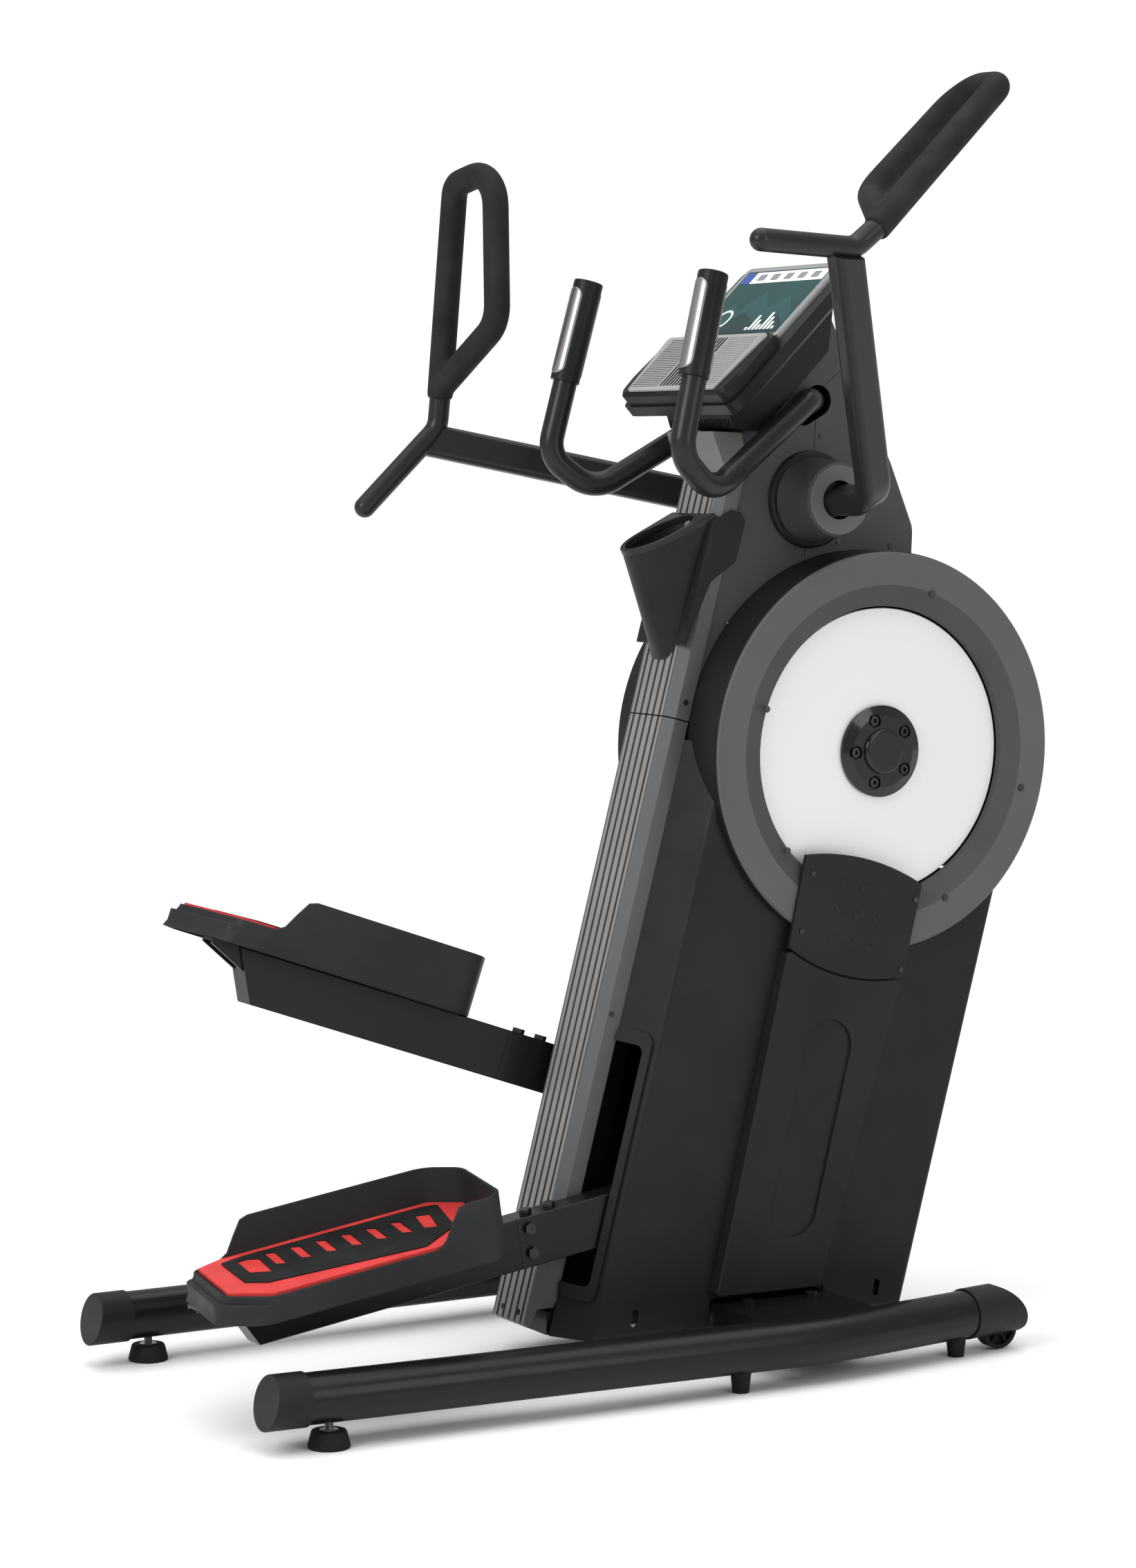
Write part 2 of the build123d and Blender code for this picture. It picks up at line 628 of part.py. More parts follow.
for name, hand in SIDES.items():
    pitch = PEDAL_REST if hand > 0 else PEDAL_REST - PEDAL_SWING
    arm_width = LEVER_X[1] - LEVER_X[0]

    with BuildPart() as lever:
        add(hollow_arm(hand, pitch, LEVER_OUTLINE, arm_width, LEVER_X[0], 3))
        mouth_plane = lever_plane(hand * (LEVER_X[0] + 3), pitch)
        mouth = outline_on(mouth_plane, ((-530, 52), (-530, 120), (-500, 120), (-500, 52)))
        extrude(mouth, amount=arm_width - 6, dir=(hand, 0, 0), mode=Mode.SUBTRACT)
        extrude(round_face(hand * LEVER_X[0], PEDAL_PIVOT, 26), amount=arm_width, dir=(hand, 0, 0))
        bore = round_face(hand * 60, PEDAL_PIVOT, SHAFT_R + FIT)
        extrude(bore, amount=50, dir=(hand, 0, 0), mode=Mode.SUBTRACT)
        extrude(round_face(hand * (LEVER_X[1] - 4), rod_foot(hand), 14), amount=5.5, dir=(hand, 0, 0))
    pieces[f"lever_{name}"] = lever

    with BuildPart() as pedal_arm:
        arm_outline = ((ARM_END_F, 49), (ARM_END_F - 40, 123), (SEAM_F - 0.5, 123), (SEAM_F - 0.5, 49))
        add(hollow_arm(hand, pitch, arm_outline, arm_width, LEVER_X[0], 3))
        spigot_plane = lever_plane(hand * (LEVER_X[0] + 3.4), pitch)
        spigot = outline_on(spigot_plane, ((-540, 52.4), (-540, 119.6), (-440, 119.6), (-440, 52.4)))
        extrude(spigot, amount=arm_width - 6.8, dir=(hand, 0, 0))
        for rib_x in (LEVER_X[0] + 4, LEVER_X[1] - 8):
            rib_plane = lever_plane(hand * rib_x, pitch)
            rib = outline_on(rib_plane, ((-1028, 116), (-1028, 123), (-980, 123), (-966, 90)))
            extrude(rib, amount=4, dir=(hand, 0, 0))
        sill_plane = lever_plane(hand * (LEVER_X[0] + 4), pitch)
        sill = outline_on(sill_plane, ((-1028, 119), (-1028, 123), (-980, 123), (-980, 119)))
        extrude(sill, amount=32, dir=(hand, 0, 0))
    pieces[f"pedal_arm_{name}"] = pedal_arm

    rim = [(hand * x, f) for x, f in TRAY_OUTLINE]
    foot = [(hand * x, f - TRAY_FLARE if f < -900 else f) for x, f in TRAY_OUTLINE]
    floor = lever_floor(TRAY_FLOOR[0], pitch)
    deck = lever_floor(TRAY_FLOOR[1], pitch)
    with BuildPart() as tray:
        loft([outline_on(floor, foot, corner=9), outline_on(deck, rim, corner=9)])
        extrude(outline_on(deck, rim, corner=9), amount=TRAY_RIM - TRAY_FLOOR[1])
        fillet(tray.edges().group_by(Axis(floor.origin, floor.z_dir))[-1], 2)
        extrude(outline_on(deck, rim, 5, corner=9), amount=60, mode=Mode.SUBTRACT)
        extrude(outline_on(floor, rim, 5, corner=9), amount=28, mode=Mode.SUBTRACT)
        with BuildSketch(floor):
            with Locations((hand * 82, -800)):
                Rectangle(50, 330)
        extrude(amount=30)
        # The wall stands round the toe only: further back on the inner side than on the outer
        for x0, back, top in ((18, -950, -916), (150, -728, -696)):
            cut_plane = lever_plane(hand * x0, pitch)
            cut = outline_on(cut_plane, ((-1100, 158), (back, 158), (top, 220), (-1100, 220)))
            extrude(cut, amount=132, dir=(hand, 0, 0), mode=Mode.SUBTRACT)
    pieces[f"tray_{name}"] = tray

    with BuildPart() as pad:
        extrude(outline_on(deck.offset(0.1), rim, 8, corner=9), amount=5)
    pieces[f"pad_{name}"] = pad

    with BuildPart() as lever_bolts:
        for f, n in SIDE_BOLTS:
            head_plane = lever_plane(hand * LEVER_X[1], pitch)
            centre = head_plane.from_local_coords((f, n, 0))
            with BuildSketch(Plane(origin=centre, z_dir=(hand, 0, 0))):
                RegularPolygon(9, 6)
            extrude(amount=6)
        for f in TOP_BOLTS:
            centre = lever_point(hand * 82, f, ARM_N[1], pitch)
            with BuildSketch(Plane(origin=centre, x_dir=(1, 0, 0), z_dir=lever_floor(0, pitch).z_dir)):
                RegularPolygon(9, 6)
            extrude(amount=7)
    pieces[f"lever_bolts_{name}"] = lever_bolts


# ---- swinging arms -----------------------------------------------------------------------


def arm_plane(hand, angle, x, y, z, toward):
    """Plane at a point of the arm's frame, square to the run towards another point."""
    start = arm_point(hand, angle, x, y, z)
    return Plane(origin=start, z_dir=arm_point(hand, angle, *toward) - start)


for name, hand in SIDES.items():
    angle = ARM_REST if hand > 0 else ARM_REST + ARM_SWING
    tube_line = tube_wire([arm_point(hand, angle, *p) for p in ARM_TUBE], 60)
    t_line = tube_wire([arm_point(hand, angle, *p) for p in T_TUBE], 40)
    lever_pin = on_line(link_pins[name], link_dir, link_length)
    normal = arm_point(hand, angle, 0, 0, 1) - arm_point(hand, angle, 0, 0, 0)

    # The tube's end is cut to lie against the cross tube
    t_dir = t_line % 0
    tube_dir = tube_line % 1
    cope_dir = tube_dir - t_dir * tube_dir.dot(t_dir)
    cope = Plane(origin=t_line @ 0, z_dir=cope_dir).offset(-8)

    with BuildPart() as tube_solid:
        with BuildSketch(Plane(origin=tube_line @ 0, x_dir=normal, z_dir=tube_line % 0)):
            RectangleRounded(50, 34, 11)
        sweep(path=tube_line)
        split(bisect_by=cope, keep=Keep.BOTTOM)

    with BuildPart() as tube_end:
        add(tube_solid.part)
        split(bisect_by=cope.offset(-4), keep=Keep.TOP)

    with BuildPart() as arm:
        add(tube_solid.part)
        with BuildSketch(Plane(origin=tube_line @ 0, x_dir=normal, z_dir=tube_line % 0)):
            RectangleRounded(44, 28, 8)
        sweep(path=tube_line, mode=Mode.SUBTRACT)
        add(tube_end.part)
        sweep(disc_across(t_line, T_TUBE_R), path=t_line)
        with Locations(Location(t_line @ 0)):
            Sphere(T_TUBE_R)
        extrude(round_face(hand * 24, ARM_PIVOT, 20), amount=20, dir=(hand, 0, 0))
        extrude(round_face(hand * 44, ARM_PIVOT, 26), amount=76, dir=(hand, 0, 0))
        extrude(bar_face(hand * 20, ARM_PIVOT, lever_pin, 14), amount=10, dir=(hand, 0, 0))
        extrude(round_face(hand * 28, lever_pin, 8), amount=3.5, dir=(hand, 0, 0))
        bore = round_face(hand * 18, ARM_PIVOT, 14 + FIT)
        extrude(bore, amount=93, dir=(hand, 0, 0), mode=Mode.SUBTRACT)
    pieces[f"arm_{name}"] = arm

    with BuildPart() as arm_grip:
        for start, end in zip(LOOP, LOOP[1:] + LOOP[:1]):
            run = arm_point(hand, angle, *end) - arm_point(hand, angle, *start)
            with BuildSketch(arm_plane(hand, angle, *start, end)):
                Circle(LOOP_R)
            extrude(amount=run.length)
            with Locations(Location(arm_point(hand, angle, *start))):
                Sphere(LOOP_R)
        sweep(disc_across(t_line, T_TUBE_R + 0.1), path=t_line, mode=Mode.SUBTRACT)
    pieces[f"arm_grip_{name}"] = arm_grip

    with BuildPart() as arm_hub:
        with BuildSketch(Plane(origin=(0, *ARM_PIVOT), x_dir=(hand, 0, 0), z_dir=(0, 0, 1))):
            with BuildLine():
                Polyline(
                    (57.6, 58),
                    (57.6, 72),
                    (66, 71),
                    (68, 68),
                    (68, 63.5),
                    (134, 54),
                    (138, 50),
                    (138, 28.5),
                    (135, 28.5),
                    (135, 50),
                    (70, 58),
                    close=True,
                )
            make_face()
        revolve(axis=Axis((0, *ARM_PIVOT), (1, 0, 0)))
    pieces[f"arm_hub_{name}"] = arm_hub


# ---- body covers -------------------------------------------------------------------------

# The shell's rear wall slants outward and forward from the column's flange
slant = Vector(60, 33, 0)
slant_normal = slant.cross(lean_dir)
slant_plane = Plane(
    origin=(COLUMN_HALF, COLUMN_Y, COLUMN_Z), x_dir=lean_dir.cross(slant_normal), z_dir=slant_normal
)


def shell_block(inset):
    """Solid of the lower side shell, drawn in by an inset on its closed sides."""
    with BuildPart() as block:
        with BuildSketch(Plane.YZ.offset(COLUMN_HALF + 0.2)) as outline:
            with BuildLine():
                Polyline(
                    (column_y(50) - 2, 50),
                    (column_y(905) - 2, 905),
                    (CRANK[0], CRANK[1]),
                    (620, 684),
                    (606, 633),
                    (445, 44),
                    close=True,
                )
            make_face()
            if inset:
                offset(amount=-inset, kind=Kind.INTERSECTION)
        extrude(amount=SHELL_X - COLUMN_HALF - 0.2 - inset)
        split(bisect_by=slant_plane.offset(-inset), keep=Keep.BOTTOM)
        rims = block.edges().group_by(Axis.X)[-1].sort_by(SortBy.LENGTH)[-3:]
        fillet(rims, SHELL_EDGE - inset)
    return block.part


with BuildPart() as side_shell:
    add(shell_block(0))
    add(shell_block(SKIN), mode=Mode.SUBTRACT)
    # Slot for the pedal arm, with its raised surround
    with BuildSketch(slant_plane):
        with Locations((32, 243)):
            RectangleRounded(62, 396, 16)
    extrude(amount=5)
    with BuildSketch(slant_plane.offset(-30)):
        with Locations((16, 243)):
            RectangleRounded(68, 356, 12)
    extrude(amount=50, mode=Mode.SUBTRACT)
    # Room for the cross-member, and for the rod behind the link cover
    rear, front = CROSS_Y[0] - 4, CROSS_Y[1] + 4
    opening = side_face(COLUMN_HALF, ((rear, 30), (rear, 90), (front, 90), (front, 30)))
    extrude(opening, amount=80, dir=(1, 0, 0), mode=Mode.SUBTRACT)
    bottom = side_face(COLUMN_HALF - 1, ((-100, 40), (-80, 56), (425, 50), (425, 40)))
    extrude(bottom, amount=60, dir=(1, 0, 0), mode=Mode.SUBTRACT)
    # Front wall, which meets the other half in the middle
    front_wall = side_face(0.2, ((445, 44), (620, 684), (616, 686), (441, 46)))
    extrude(front_wall, amount=61, dir=(1, 0, 0))
    extrude(round_face(0, CRANK, RING_R + GAP), amount=200, dir=(1, 0, 0), mode=Mode.SUBTRACT)
    # Two obround holes in the skirt
    for hole_y in (-25, 398):
        slot_hole = bar_face(SHELL_X - 8, (hole_y, 68), (hole_y + 3, 84), 5)
        extrude(slot_hole, amount=20, dir=(1, 0, 0), mode=Mode.SUBTRACT)
pieces["side_shells"] = pair(side_shell)

with BuildPart() as link_cover:
    with BuildSketch(Plane.YZ.offset(SHELL_X + 0.2)) as panel:
        with BuildLine():
            Polyline((226, 600), (103, 96), (284, 93), (429, 543.8))
            ThreePointArc((429, 543.8), (330, 550.8), (226, 600))
        make_face()
        fillet(panel.vertices().group_by(Axis.Z)[0], 8)
        fillet(panel.vertices().group_by(Axis.Z)[0], 8)
    extrude(amount=COVER_X - SHELL_X - 0.2)
    chamfer(link_cover.edges().group_by(Axis.X)[-1], 2)
    recess = bar_face(COVER_X - 4, (296, 450), (236, 214), 41)
    extrude(recess, amount=8, dir=(1, 0, 0), mode=Mode.SUBTRACT)
    inner = side_face(SHELL_X, ((111, 102), (227, 588), (330, 540), (418, 534), (278, 100)))
    extrude(inner, amount=COVER_X - SHELL_X - 8, dir=(1, 0, 0), mode=Mode.SUBTRACT)
    extrude(round_face(SHELL_X, CRANK, RING_R + 0.5), amount=40, dir=(1, 0, 0), mode=Mode.SUBTRACT)
pieces["link_covers"] = pair(link_cover)

with BuildPart() as bump_plate:
    with BuildSketch(Plane.YZ.offset(RING_FACE_X + 0.2)):
        with BuildLine():
            Line((226, 601), (256, 736))
            ThreePointArc((256, 736), (368, 723), (463, 681))
            Line((463, 681), (429, 544.8))
            ThreePointArc((429, 544.8), (330, 551.8), (226, 601))
        make_face()
    extrude(amount=7)
    chamfer(bump_plate.edges().group_by(Axis.X)[-1], 1.5)
    with Locations(Plane(origin=(RING_FACE_X, 343, 643), x_dir=(0, 0.962, -0.273), z_dir=(1, 0, 0))):
        with GridLocations(34.8, 42.4, 3, 3):
            Sphere(9.7)
    split(bisect_by=Plane.YZ.offset(RING_FACE_X + 0.2), keep=Keep.TOP)
pieces["bump_plates"] = pair(bump_plate)

with BuildPart() as ring_cover:
    section_plane = Plane(origin=(0, *CRANK), x_dir=(1, 0, 0), z_dir=(0, 0, 1))
    with BuildSketch(section_plane):
        with BuildLine():
            Polyline(
                (UPPER_X + 0.2, RING_R),
                (RING_FACE_X - 4, RING_R),
                (RING_FACE_X, RING_R - 4),
                (RING_FACE_X, RING_FLAT_R),
                RING_LIP,
                (DISC_X[1] + 0.6, DISC_R + 2.5),
                (DISC_X[1] + 0.6, DISC_R + 5.5),
                (RING_LIP[0] - 3, RING_LIP[1] + 3),
                (RING_FACE_X - 3.5, RING_FLAT_R + 2),
                (RING_FACE_X - 3.5, RING_R - SKIN),
                (UPPER_X + 0.2, RING_R - SKIN),
                close=True,
            )
        make_face()
    revolve(axis=Axis((0, *CRANK), (1, 0, 0)))
    # The rods pass through the drum's wall behind the link cover
    window = side_face(UPPER_X, ((212, 560), (262, 700), (440, 640), (400, 540)))
    extrude(window, amount=RING_FACE_X - UPPER_X - 6, dir=(1, 0, 0), mode=Mode.SUBTRACT)
    # Inboard of the upper cover the drum is closed at the front only
    wall_start = radians(DRUM_OPEN[0])
    wall_plane = Plane(origin=(0, *CRANK), x_dir=(1, 0, 0), z_dir=(0, -sin(wall_start), cos(wall_start)))
    with BuildSketch(wall_plane):
        with Locations((UPPER_X / 2 + 0.2, RING_R - SKIN / 2)):
            Rectangle(UPPER_X, SKIN)
    revolve(axis=Axis((0, *CRANK), (1, 0, 0)), revolution_arc=DRUM_OPEN[1] - DRUM_OPEN[0])
pieces["ring_covers"] = pair(ring_cover)


def upper_block(inset):
    """Solid of one upper cover, drawn in by an inset on its closed sides."""
    with BuildPart() as block:
        with BuildSketch(Plane.YZ.offset(0.15)) as outline:
            with BuildLine():
                Polyline(
                    (column_y(905) + 2, 905),
                    (column_y(1285) + 2, 1285),
                    (column_y(1285) - 8, 1350),
                    (355, 1526),
                    (398, 1440),
                    (467, 1307),
                    (504, 1219),
                    (501, 1150),
                    (CRANK[0], CRANK[1]),
                    close=True,
                )
            make_face()
            if inset:
                offset(amount=-inset, kind=Kind.INTERSECTION)
        extrude(amount=UPPER_X - 0.15 - inset)
        rims = block.edges().group_by(Axis.X)[-1].sort_by(Axis.Z)[-4:]
        fillet(rims, SHELL_EDGE - inset)
    return block.part


with BuildPart() as upper_shell:
    add(upper_block(0))
    add(upper_block(SKIN), mode=Mode.SUBTRACT)
    extrude(round_face(-1, CRANK, RING_R + GAP), amount=200, dir=(1, 0, 0), mode=Mode.SUBTRACT)
    extrude(round_face(40, ARM_PIVOT, 30), amount=40, dir=(1, 0, 0), mode=Mode.SUBTRACT)
    # Dark openings round the handlebar, and shallow seams between the panels
    extrude(bar_face(40, (306, 1384), (332, 1398), 23), amount=40, dir=(1, 0, 0), mode=Mode.SUBTRACT)
    for seam in SEAMS:
        extrude(bar_face(UPPER_X - 1, *seam, 0.7), amount=2, dir=(1, 0, 0), mode=Mode.SUBTRACT)
    # The back is open where the column stands
    mast_gap = side_face(
        -1,
        (
            (column_y(880), 880),
            (column_y(1264), 1264),
            (column_y(1264) + 60, 1264),
            (column_y(880) + 50, 880),
        ),
    )
    extrude(mast_gap, amount=UPPER_X - SKIN + 1, dir=(1, 0, 0), mode=Mode.SUBTRACT)
    toe = side_face(-1, ((90, 880), (90, 950), (column_y(950) + 6, 950), (180, 880)))
    extrude(toe, amount=UPPER_X + 5, dir=(1, 0, 0), mode=Mode.SUBTRACT)
pieces["upper_shells"] = pair(upper_shell)


# ---- handlebar ---------------------------------------------------------------------------

bar_line = tube_wire(BAR_POINTS, BAR_RADII)
with BuildPart() as handlebar_half:
    sweep(disc_across(bar_line, BAR_R), path=bar_line)
    with BuildSketch(Plane.YZ.offset(42)):
        with Locations((332, 1398)):
            Circle(BAR_R)
    extrude(amount=-42)

with BuildPart() as upper_clear:
    add(pieces["upper_shells"].part)
    add(handlebar_half.part, mode=Mode.SUBTRACT)
    mirror(handlebar_half.part, about=Plane.YZ, mode=Mode.SUBTRACT)
pieces["upper_shells"] = upper_clear
pieces["handlebar"] = pair(handlebar_half)

grip_axis = Vector(*BAR_TIP) - Vector(*BAR_GRIP)
grip_plane = Plane(origin=BAR_GRIP, x_dir=(0, -1, 0), z_dir=grip_axis)
with BuildPart() as pulse_grip:
    with BuildSketch(grip_plane):
        Circle(BAR_R + 4)
    extrude(amount=grip_axis.length + 4)
    fillet(pulse_grip.edges().group_by(Axis.Z)[-1], 3)
    add(handlebar_half.part, mode=Mode.SUBTRACT)
pieces["pulse_grips"] = pair(pulse_grip)

with BuildPart() as contact_plate:
    with BuildSketch(grip_plane.offset(22)) as plate_section:
        Circle(BAR_R + 5.5)
        Circle(BAR_R + 4.1, mode=Mode.SUBTRACT)
        with Locations((-BAR_R - 20, 0), (BAR_R + 20, 0)):
            Rectangle(2 * BAR_R + 12, 80, mode=Mode.SUBTRACT)
        with Locations((0, 0)):
            Rectangle(18, 80, mode=Mode.SUBTRACT)
    extrude(amount=112)
pieces["contact_plates"] = pair(contact_plate)


# ---- console -----------------------------------------------------------------------------


def console_plane(w):
    """Plane at height w over the console slab: local x is the body's X, local y runs up it."""
    tilt = radians(CONSOLE_TILT)
    normal = Vector(0, -sin(tilt), cos(tilt))
    return Plane(origin=Vector(0, CONSOLE_Y, CONSOLE_Z) + normal * w, x_dir=(1, 0, 0), z_dir=normal)


slab_axis = Axis(console_plane(0).origin, console_plane(0).z_dir)

with BuildPart() as console_base:
    slab = ((-150, -2), (150, -2), (152, 60), (146, 300), (-146, 300), (-152, 60))
    extrude(outline_on(console_plane(-38), slab, corner=16), amount=24)
    chamfer(console_base.faces().sort_by(slab_axis)[0].edges(), 6)
    hump = ((-142, 2), (142, 2), (147, 40), (139, 132), (-139, 132), (-147, 40))
    extrude(outline_on(console_plane(-16), hump, corner=16), amount=24)
    chamfer(console_base.faces().sort_by(slab_axis)[-1].edges(), 5)
    vent = side_face(-86, ((164, 1357), (214, 1352), (330, 1470), (345, 1590), (150, 1400)), 5)
    extrude(vent, amount=172, dir=(1, 0, 0))
    for rank in range(23):
        slat = side_face(-81 + 7.2 * rank, ((146, 1351), (202, 1340), (212, 1356), (176, 1392)))
        extrude(slat, amount=3.2, dir=(1, 0, 0), mode=Mode.SUBTRACT)
    recess = outline_on(console_plane(7), ((-121, 6), (121, 6), (137, 126), (-137, 126)))
    extrude(recess, amount=3, mode=Mode.SUBTRACT)
    add(pieces["upper_shells"].part, mode=Mode.SUBTRACT)
pieces["console_base"] = console_base

with BuildPart() as speaker_panel:
    panel = outline_on(console_plane(7.2), ((-119, 8), (119, 8), (135, 124), (-135, 124)))
    extrude(panel, amount=4)
    with BuildSketch(console_plane(12)):
        for rank in range(8):
            with Locations(Location((0, 22 + 12 * rank), 35)):
                SlotOverall(60, 4.5)
    extrude(amount=-3, mode=Mode.SUBTRACT)
pieces["speaker_panel"] = speaker_panel

with BuildPart() as display_bezel:
    tablet = outline_on(console_plane(-13.8), ((-122, 134), (122, 134), (122, 294), (-122, 294)), corner=8)
    extrude(tablet, amount=8)
    glass = outline_on(console_plane(-8), ((-113, 143), (113, 143), (113, 285), (-113, 285)))
    extrude(glass, amount=5, mode=Mode.SUBTRACT)
pieces["display_bezel"] = display_bezel

with BuildPart() as screen:
    glass = outline_on(
        console_plane(-7.8), ((-112.5, 143.5), (112.5, 143.5), (112.5, 284.5), (-112.5, 284.5))
    )
    extrude(glass, amount=2)
pieces["screen"] = screen

with BuildPart() as console_neck:
    back = column_y(1290)
    neck = side_face(-64, ((back - 34, 1291), (back + 1, 1291), (back - 8, 1350), (143, 1352)))
    extrude(neck, amount=128, dir=(1, 0, 0))
    add(column_upper.part, mode=Mode.SUBTRACT)
    add(pieces["upper_shells"].part, mode=Mode.SUBTRACT)
    add(console_base.part, mode=Mode.SUBTRACT)
pieces["console_neck"] = console_neck


# ---- cup holder --------------------------------------------------------------------------

CUP_TILT = radians(24.4)
CUP_FOOT = (118.0, 1020.0)
CUP_WALL = 4.0
cup_plane = Plane(origin=(0, 95, 1198), x_dir=(1, 0, 0), z_dir=(0, -sin(CUP_TILT), cos(CUP_TILT)))


def cup_section(plane, grow, saddle):
    """Mouth of the cup on a plane, with shoulders that reach out to the column's edges."""
    with BuildSketch(plane) as section:
        Ellipse(50 + grow, 64 + grow)
        if saddle:
            with Locations((-51.5, 62), (51.5, 62)):
                Circle(8)
            make_hull()
    return section.sketch


def cup_solid(inset):
    """Tapered bucket from its small foot to its slanted mouth."""
    with BuildPart() as cup:
        add(cup_section(cup_plane, -inset, inset == 0))
        with BuildSketch(Plane.XY.offset(CUP_FOOT[1] + 2 * inset)):
            with Locations((0, CUP_FOOT[0])):
                Ellipse(44 - inset, 28 - inset)
        loft()
    return cup.part


# Everything ahead of the column's rear ribs belongs to the column
fill_outline = ((column_y(1000) - 36, 1000), (column_y(1300) - 36, 1300), (400, 1300), (400, 1000))
column_fill = side_face(-COLUMN_HALF, fill_outline)

with BuildPart() as cup_rim:
    extrude(cup_section(cup_plane.offset(0.2), 1, True), amount=9)
    extrude(cup_section(cup_plane.offset(0.2), -7, False), amount=9, mode=Mode.SUBTRACT)
    chamfer(cup_rim.faces().sort_by(Axis(cup_plane.origin, cup_plane.z_dir))[-1].edges(), 1.5)
    add(column_upper.part, mode=Mode.SUBTRACT)
    extrude(column_fill, amount=2 * COLUMN_HALF, dir=(1, 0, 0), mode=Mode.SUBTRACT)

with BuildPart() as cup_holder:
    add(cup_solid(0))
    saddle = side_face(
        -66,
        (
            (85, 1012),
            (110, 1074),
            (130, 1114),
            (140, 1134),
            (183, 1163),
            (199, 1220),
            (192, 1234),
            (180, 1238),
            (142, 1222),
        ),
        2,
    )
    extrude(saddle, amount=132, dir=(1, 0, 0))
    add(cup_solid(CUP_WALL), mode=Mode.SUBTRACT)
    extrude(cup_section(cup_plane, -CUP_WALL, False), amount=40, mode=Mode.SUBTRACT)
    add(cup_rim.part, mode=Mode.SUBTRACT)
    add(column_upper.part, mode=Mode.SUBTRACT)
    extrude(column_fill, amount=2 * COLUMN_HALF, dir=(1, 0, 0), mode=Mode.SUBTRACT)
pieces["cup_holder"] = cup_holder
pieces["cup_rim"] = cup_rim


# ---- screws and power inlet --------------------------------------------------------------

RING_SCREWS = ((481, 1113), (189, 951), (226, 743), (509, 658), (648, 817))
with BuildPart() as screw_set:
    for centre in RING_SCREWS:
        extrude(round_face(RING_FACE_X + 0.05, centre, 5), amount=2, dir=(1, 0, 0))
    for centre in ((267, 708), (247, 624), (450, 659), (424, 556)):
        extrude(round_face(RING_FACE_X + 7.25, centre, 4), amount=1.5, dir=(1, 0, 0))
    for centre in ((101, 959), (-24, 511)):
        extrude(round_face(COLUMN_HALF + 0.05, centre, 4), amount=1.5, dir=(1, 0, 0))
    for centre in UPPER_SCREWS:
        extrude(round_face(UPPER_X + 0.05, centre, 4), amount=1.5, dir=(1, 0, 0))
pieces["cover_screws"] = pair(screw_set)

with BuildPart() as power_inlet:
    with BuildSketch(Plane(origin=(0, 462, 92), x_dir=(1, 0, 0), z_dir=(0, 0.966, -0.259))):
        RectangleRounded(34, 26, 4)
        Circle(5.5, mode=Mode.SUBTRACT)
    extrude(amount=8)
    add(pieces["side_shells"].part, mode=Mode.SUBTRACT)
pieces["power_inlet"] = power_inlet

for name, piece in pieces.items():
    piece.part.label = name
    export_step(piece.part, f"parts/{name}.step")
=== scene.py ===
"""Looks of the vertical climber machine: studio, materials and the detailed pieces over its CAD frame."""

import json
from math import cos, pi, radians, sin

import bmesh
import bpy
from mathutils import Matrix, Vector


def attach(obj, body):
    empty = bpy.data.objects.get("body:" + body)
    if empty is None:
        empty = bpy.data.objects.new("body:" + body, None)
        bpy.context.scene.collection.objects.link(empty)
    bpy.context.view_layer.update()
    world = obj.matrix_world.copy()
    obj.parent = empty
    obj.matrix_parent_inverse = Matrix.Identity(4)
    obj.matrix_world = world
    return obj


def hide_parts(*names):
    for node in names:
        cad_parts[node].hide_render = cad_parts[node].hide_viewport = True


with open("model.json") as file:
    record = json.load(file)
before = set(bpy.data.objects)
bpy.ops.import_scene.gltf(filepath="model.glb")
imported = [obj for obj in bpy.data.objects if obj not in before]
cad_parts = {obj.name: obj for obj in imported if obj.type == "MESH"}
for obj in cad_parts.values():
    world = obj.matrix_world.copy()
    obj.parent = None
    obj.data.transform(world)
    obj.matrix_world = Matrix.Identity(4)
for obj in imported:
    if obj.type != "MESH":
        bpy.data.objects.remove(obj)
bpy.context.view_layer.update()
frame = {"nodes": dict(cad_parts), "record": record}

nodes = frame["nodes"]
HANDS = {"right": 1, "left": -1}

# Frames that pieces are drawn in: millimetres and degrees, as (Y, Z) where there are two numbers
CRANK = (400.0, 881.0)
CONSOLE = (110.0, 1400.0)
CONSOLE_TILT = 43.5
PEDAL_PIVOT = (332.0, 190.0)
PEDAL_PITCH = {"right": 8.4, "left": -19.2}
ARM_PIVOT = (316.0, 1252.5)
ARM_ANGLE = {"right": 118.4, "left": 166.9}
GRIP_START = (180.0, 37.0, 1427.0)
GRIP_END = (173.0, 74.0, 1571.0)
LEVELLER = (292.7, -602.0)  # X and Y

# Foam loop in its arm's frame, from the foot and back to it
LOOP = ((408, 394, -80), (364, 461, -378), (258, 456, -400), (260, 399, -176), (408, 394, -80))
LOOP_CORNERS = (0, 22, 46, 52, 0)
LOOP_R = 20.0
LOOP_FOOT = 16.0

# Pedal tray as (X, forward) in its pedal's frame, and the heights over the pivot
TRAY_OUTLINE = ((27, -960), (27, -625), (80, -589), (238, -618), (262, -645), (262, -985), (200, -1032), (45, -1006))
TRAY_CORNERS = (20, 40, 40, 26, 26, 34, 40, 20)
TRAY_WALL = 4.5
TRAY_LEVELS = {"skirt": 123.4, "sole": 150.0, "deck": 157.0}
TRAY_RIM = (160.0, 213.0)
TRAY_SPLIT_X = 150
TRAY_RAMP = {"inner": -954, "outer": -732}
TRAY_RAMP_RUN = 44
TRAY_FLARE = 17.0
TRAY_FLARE_RUN = (-860, 70)

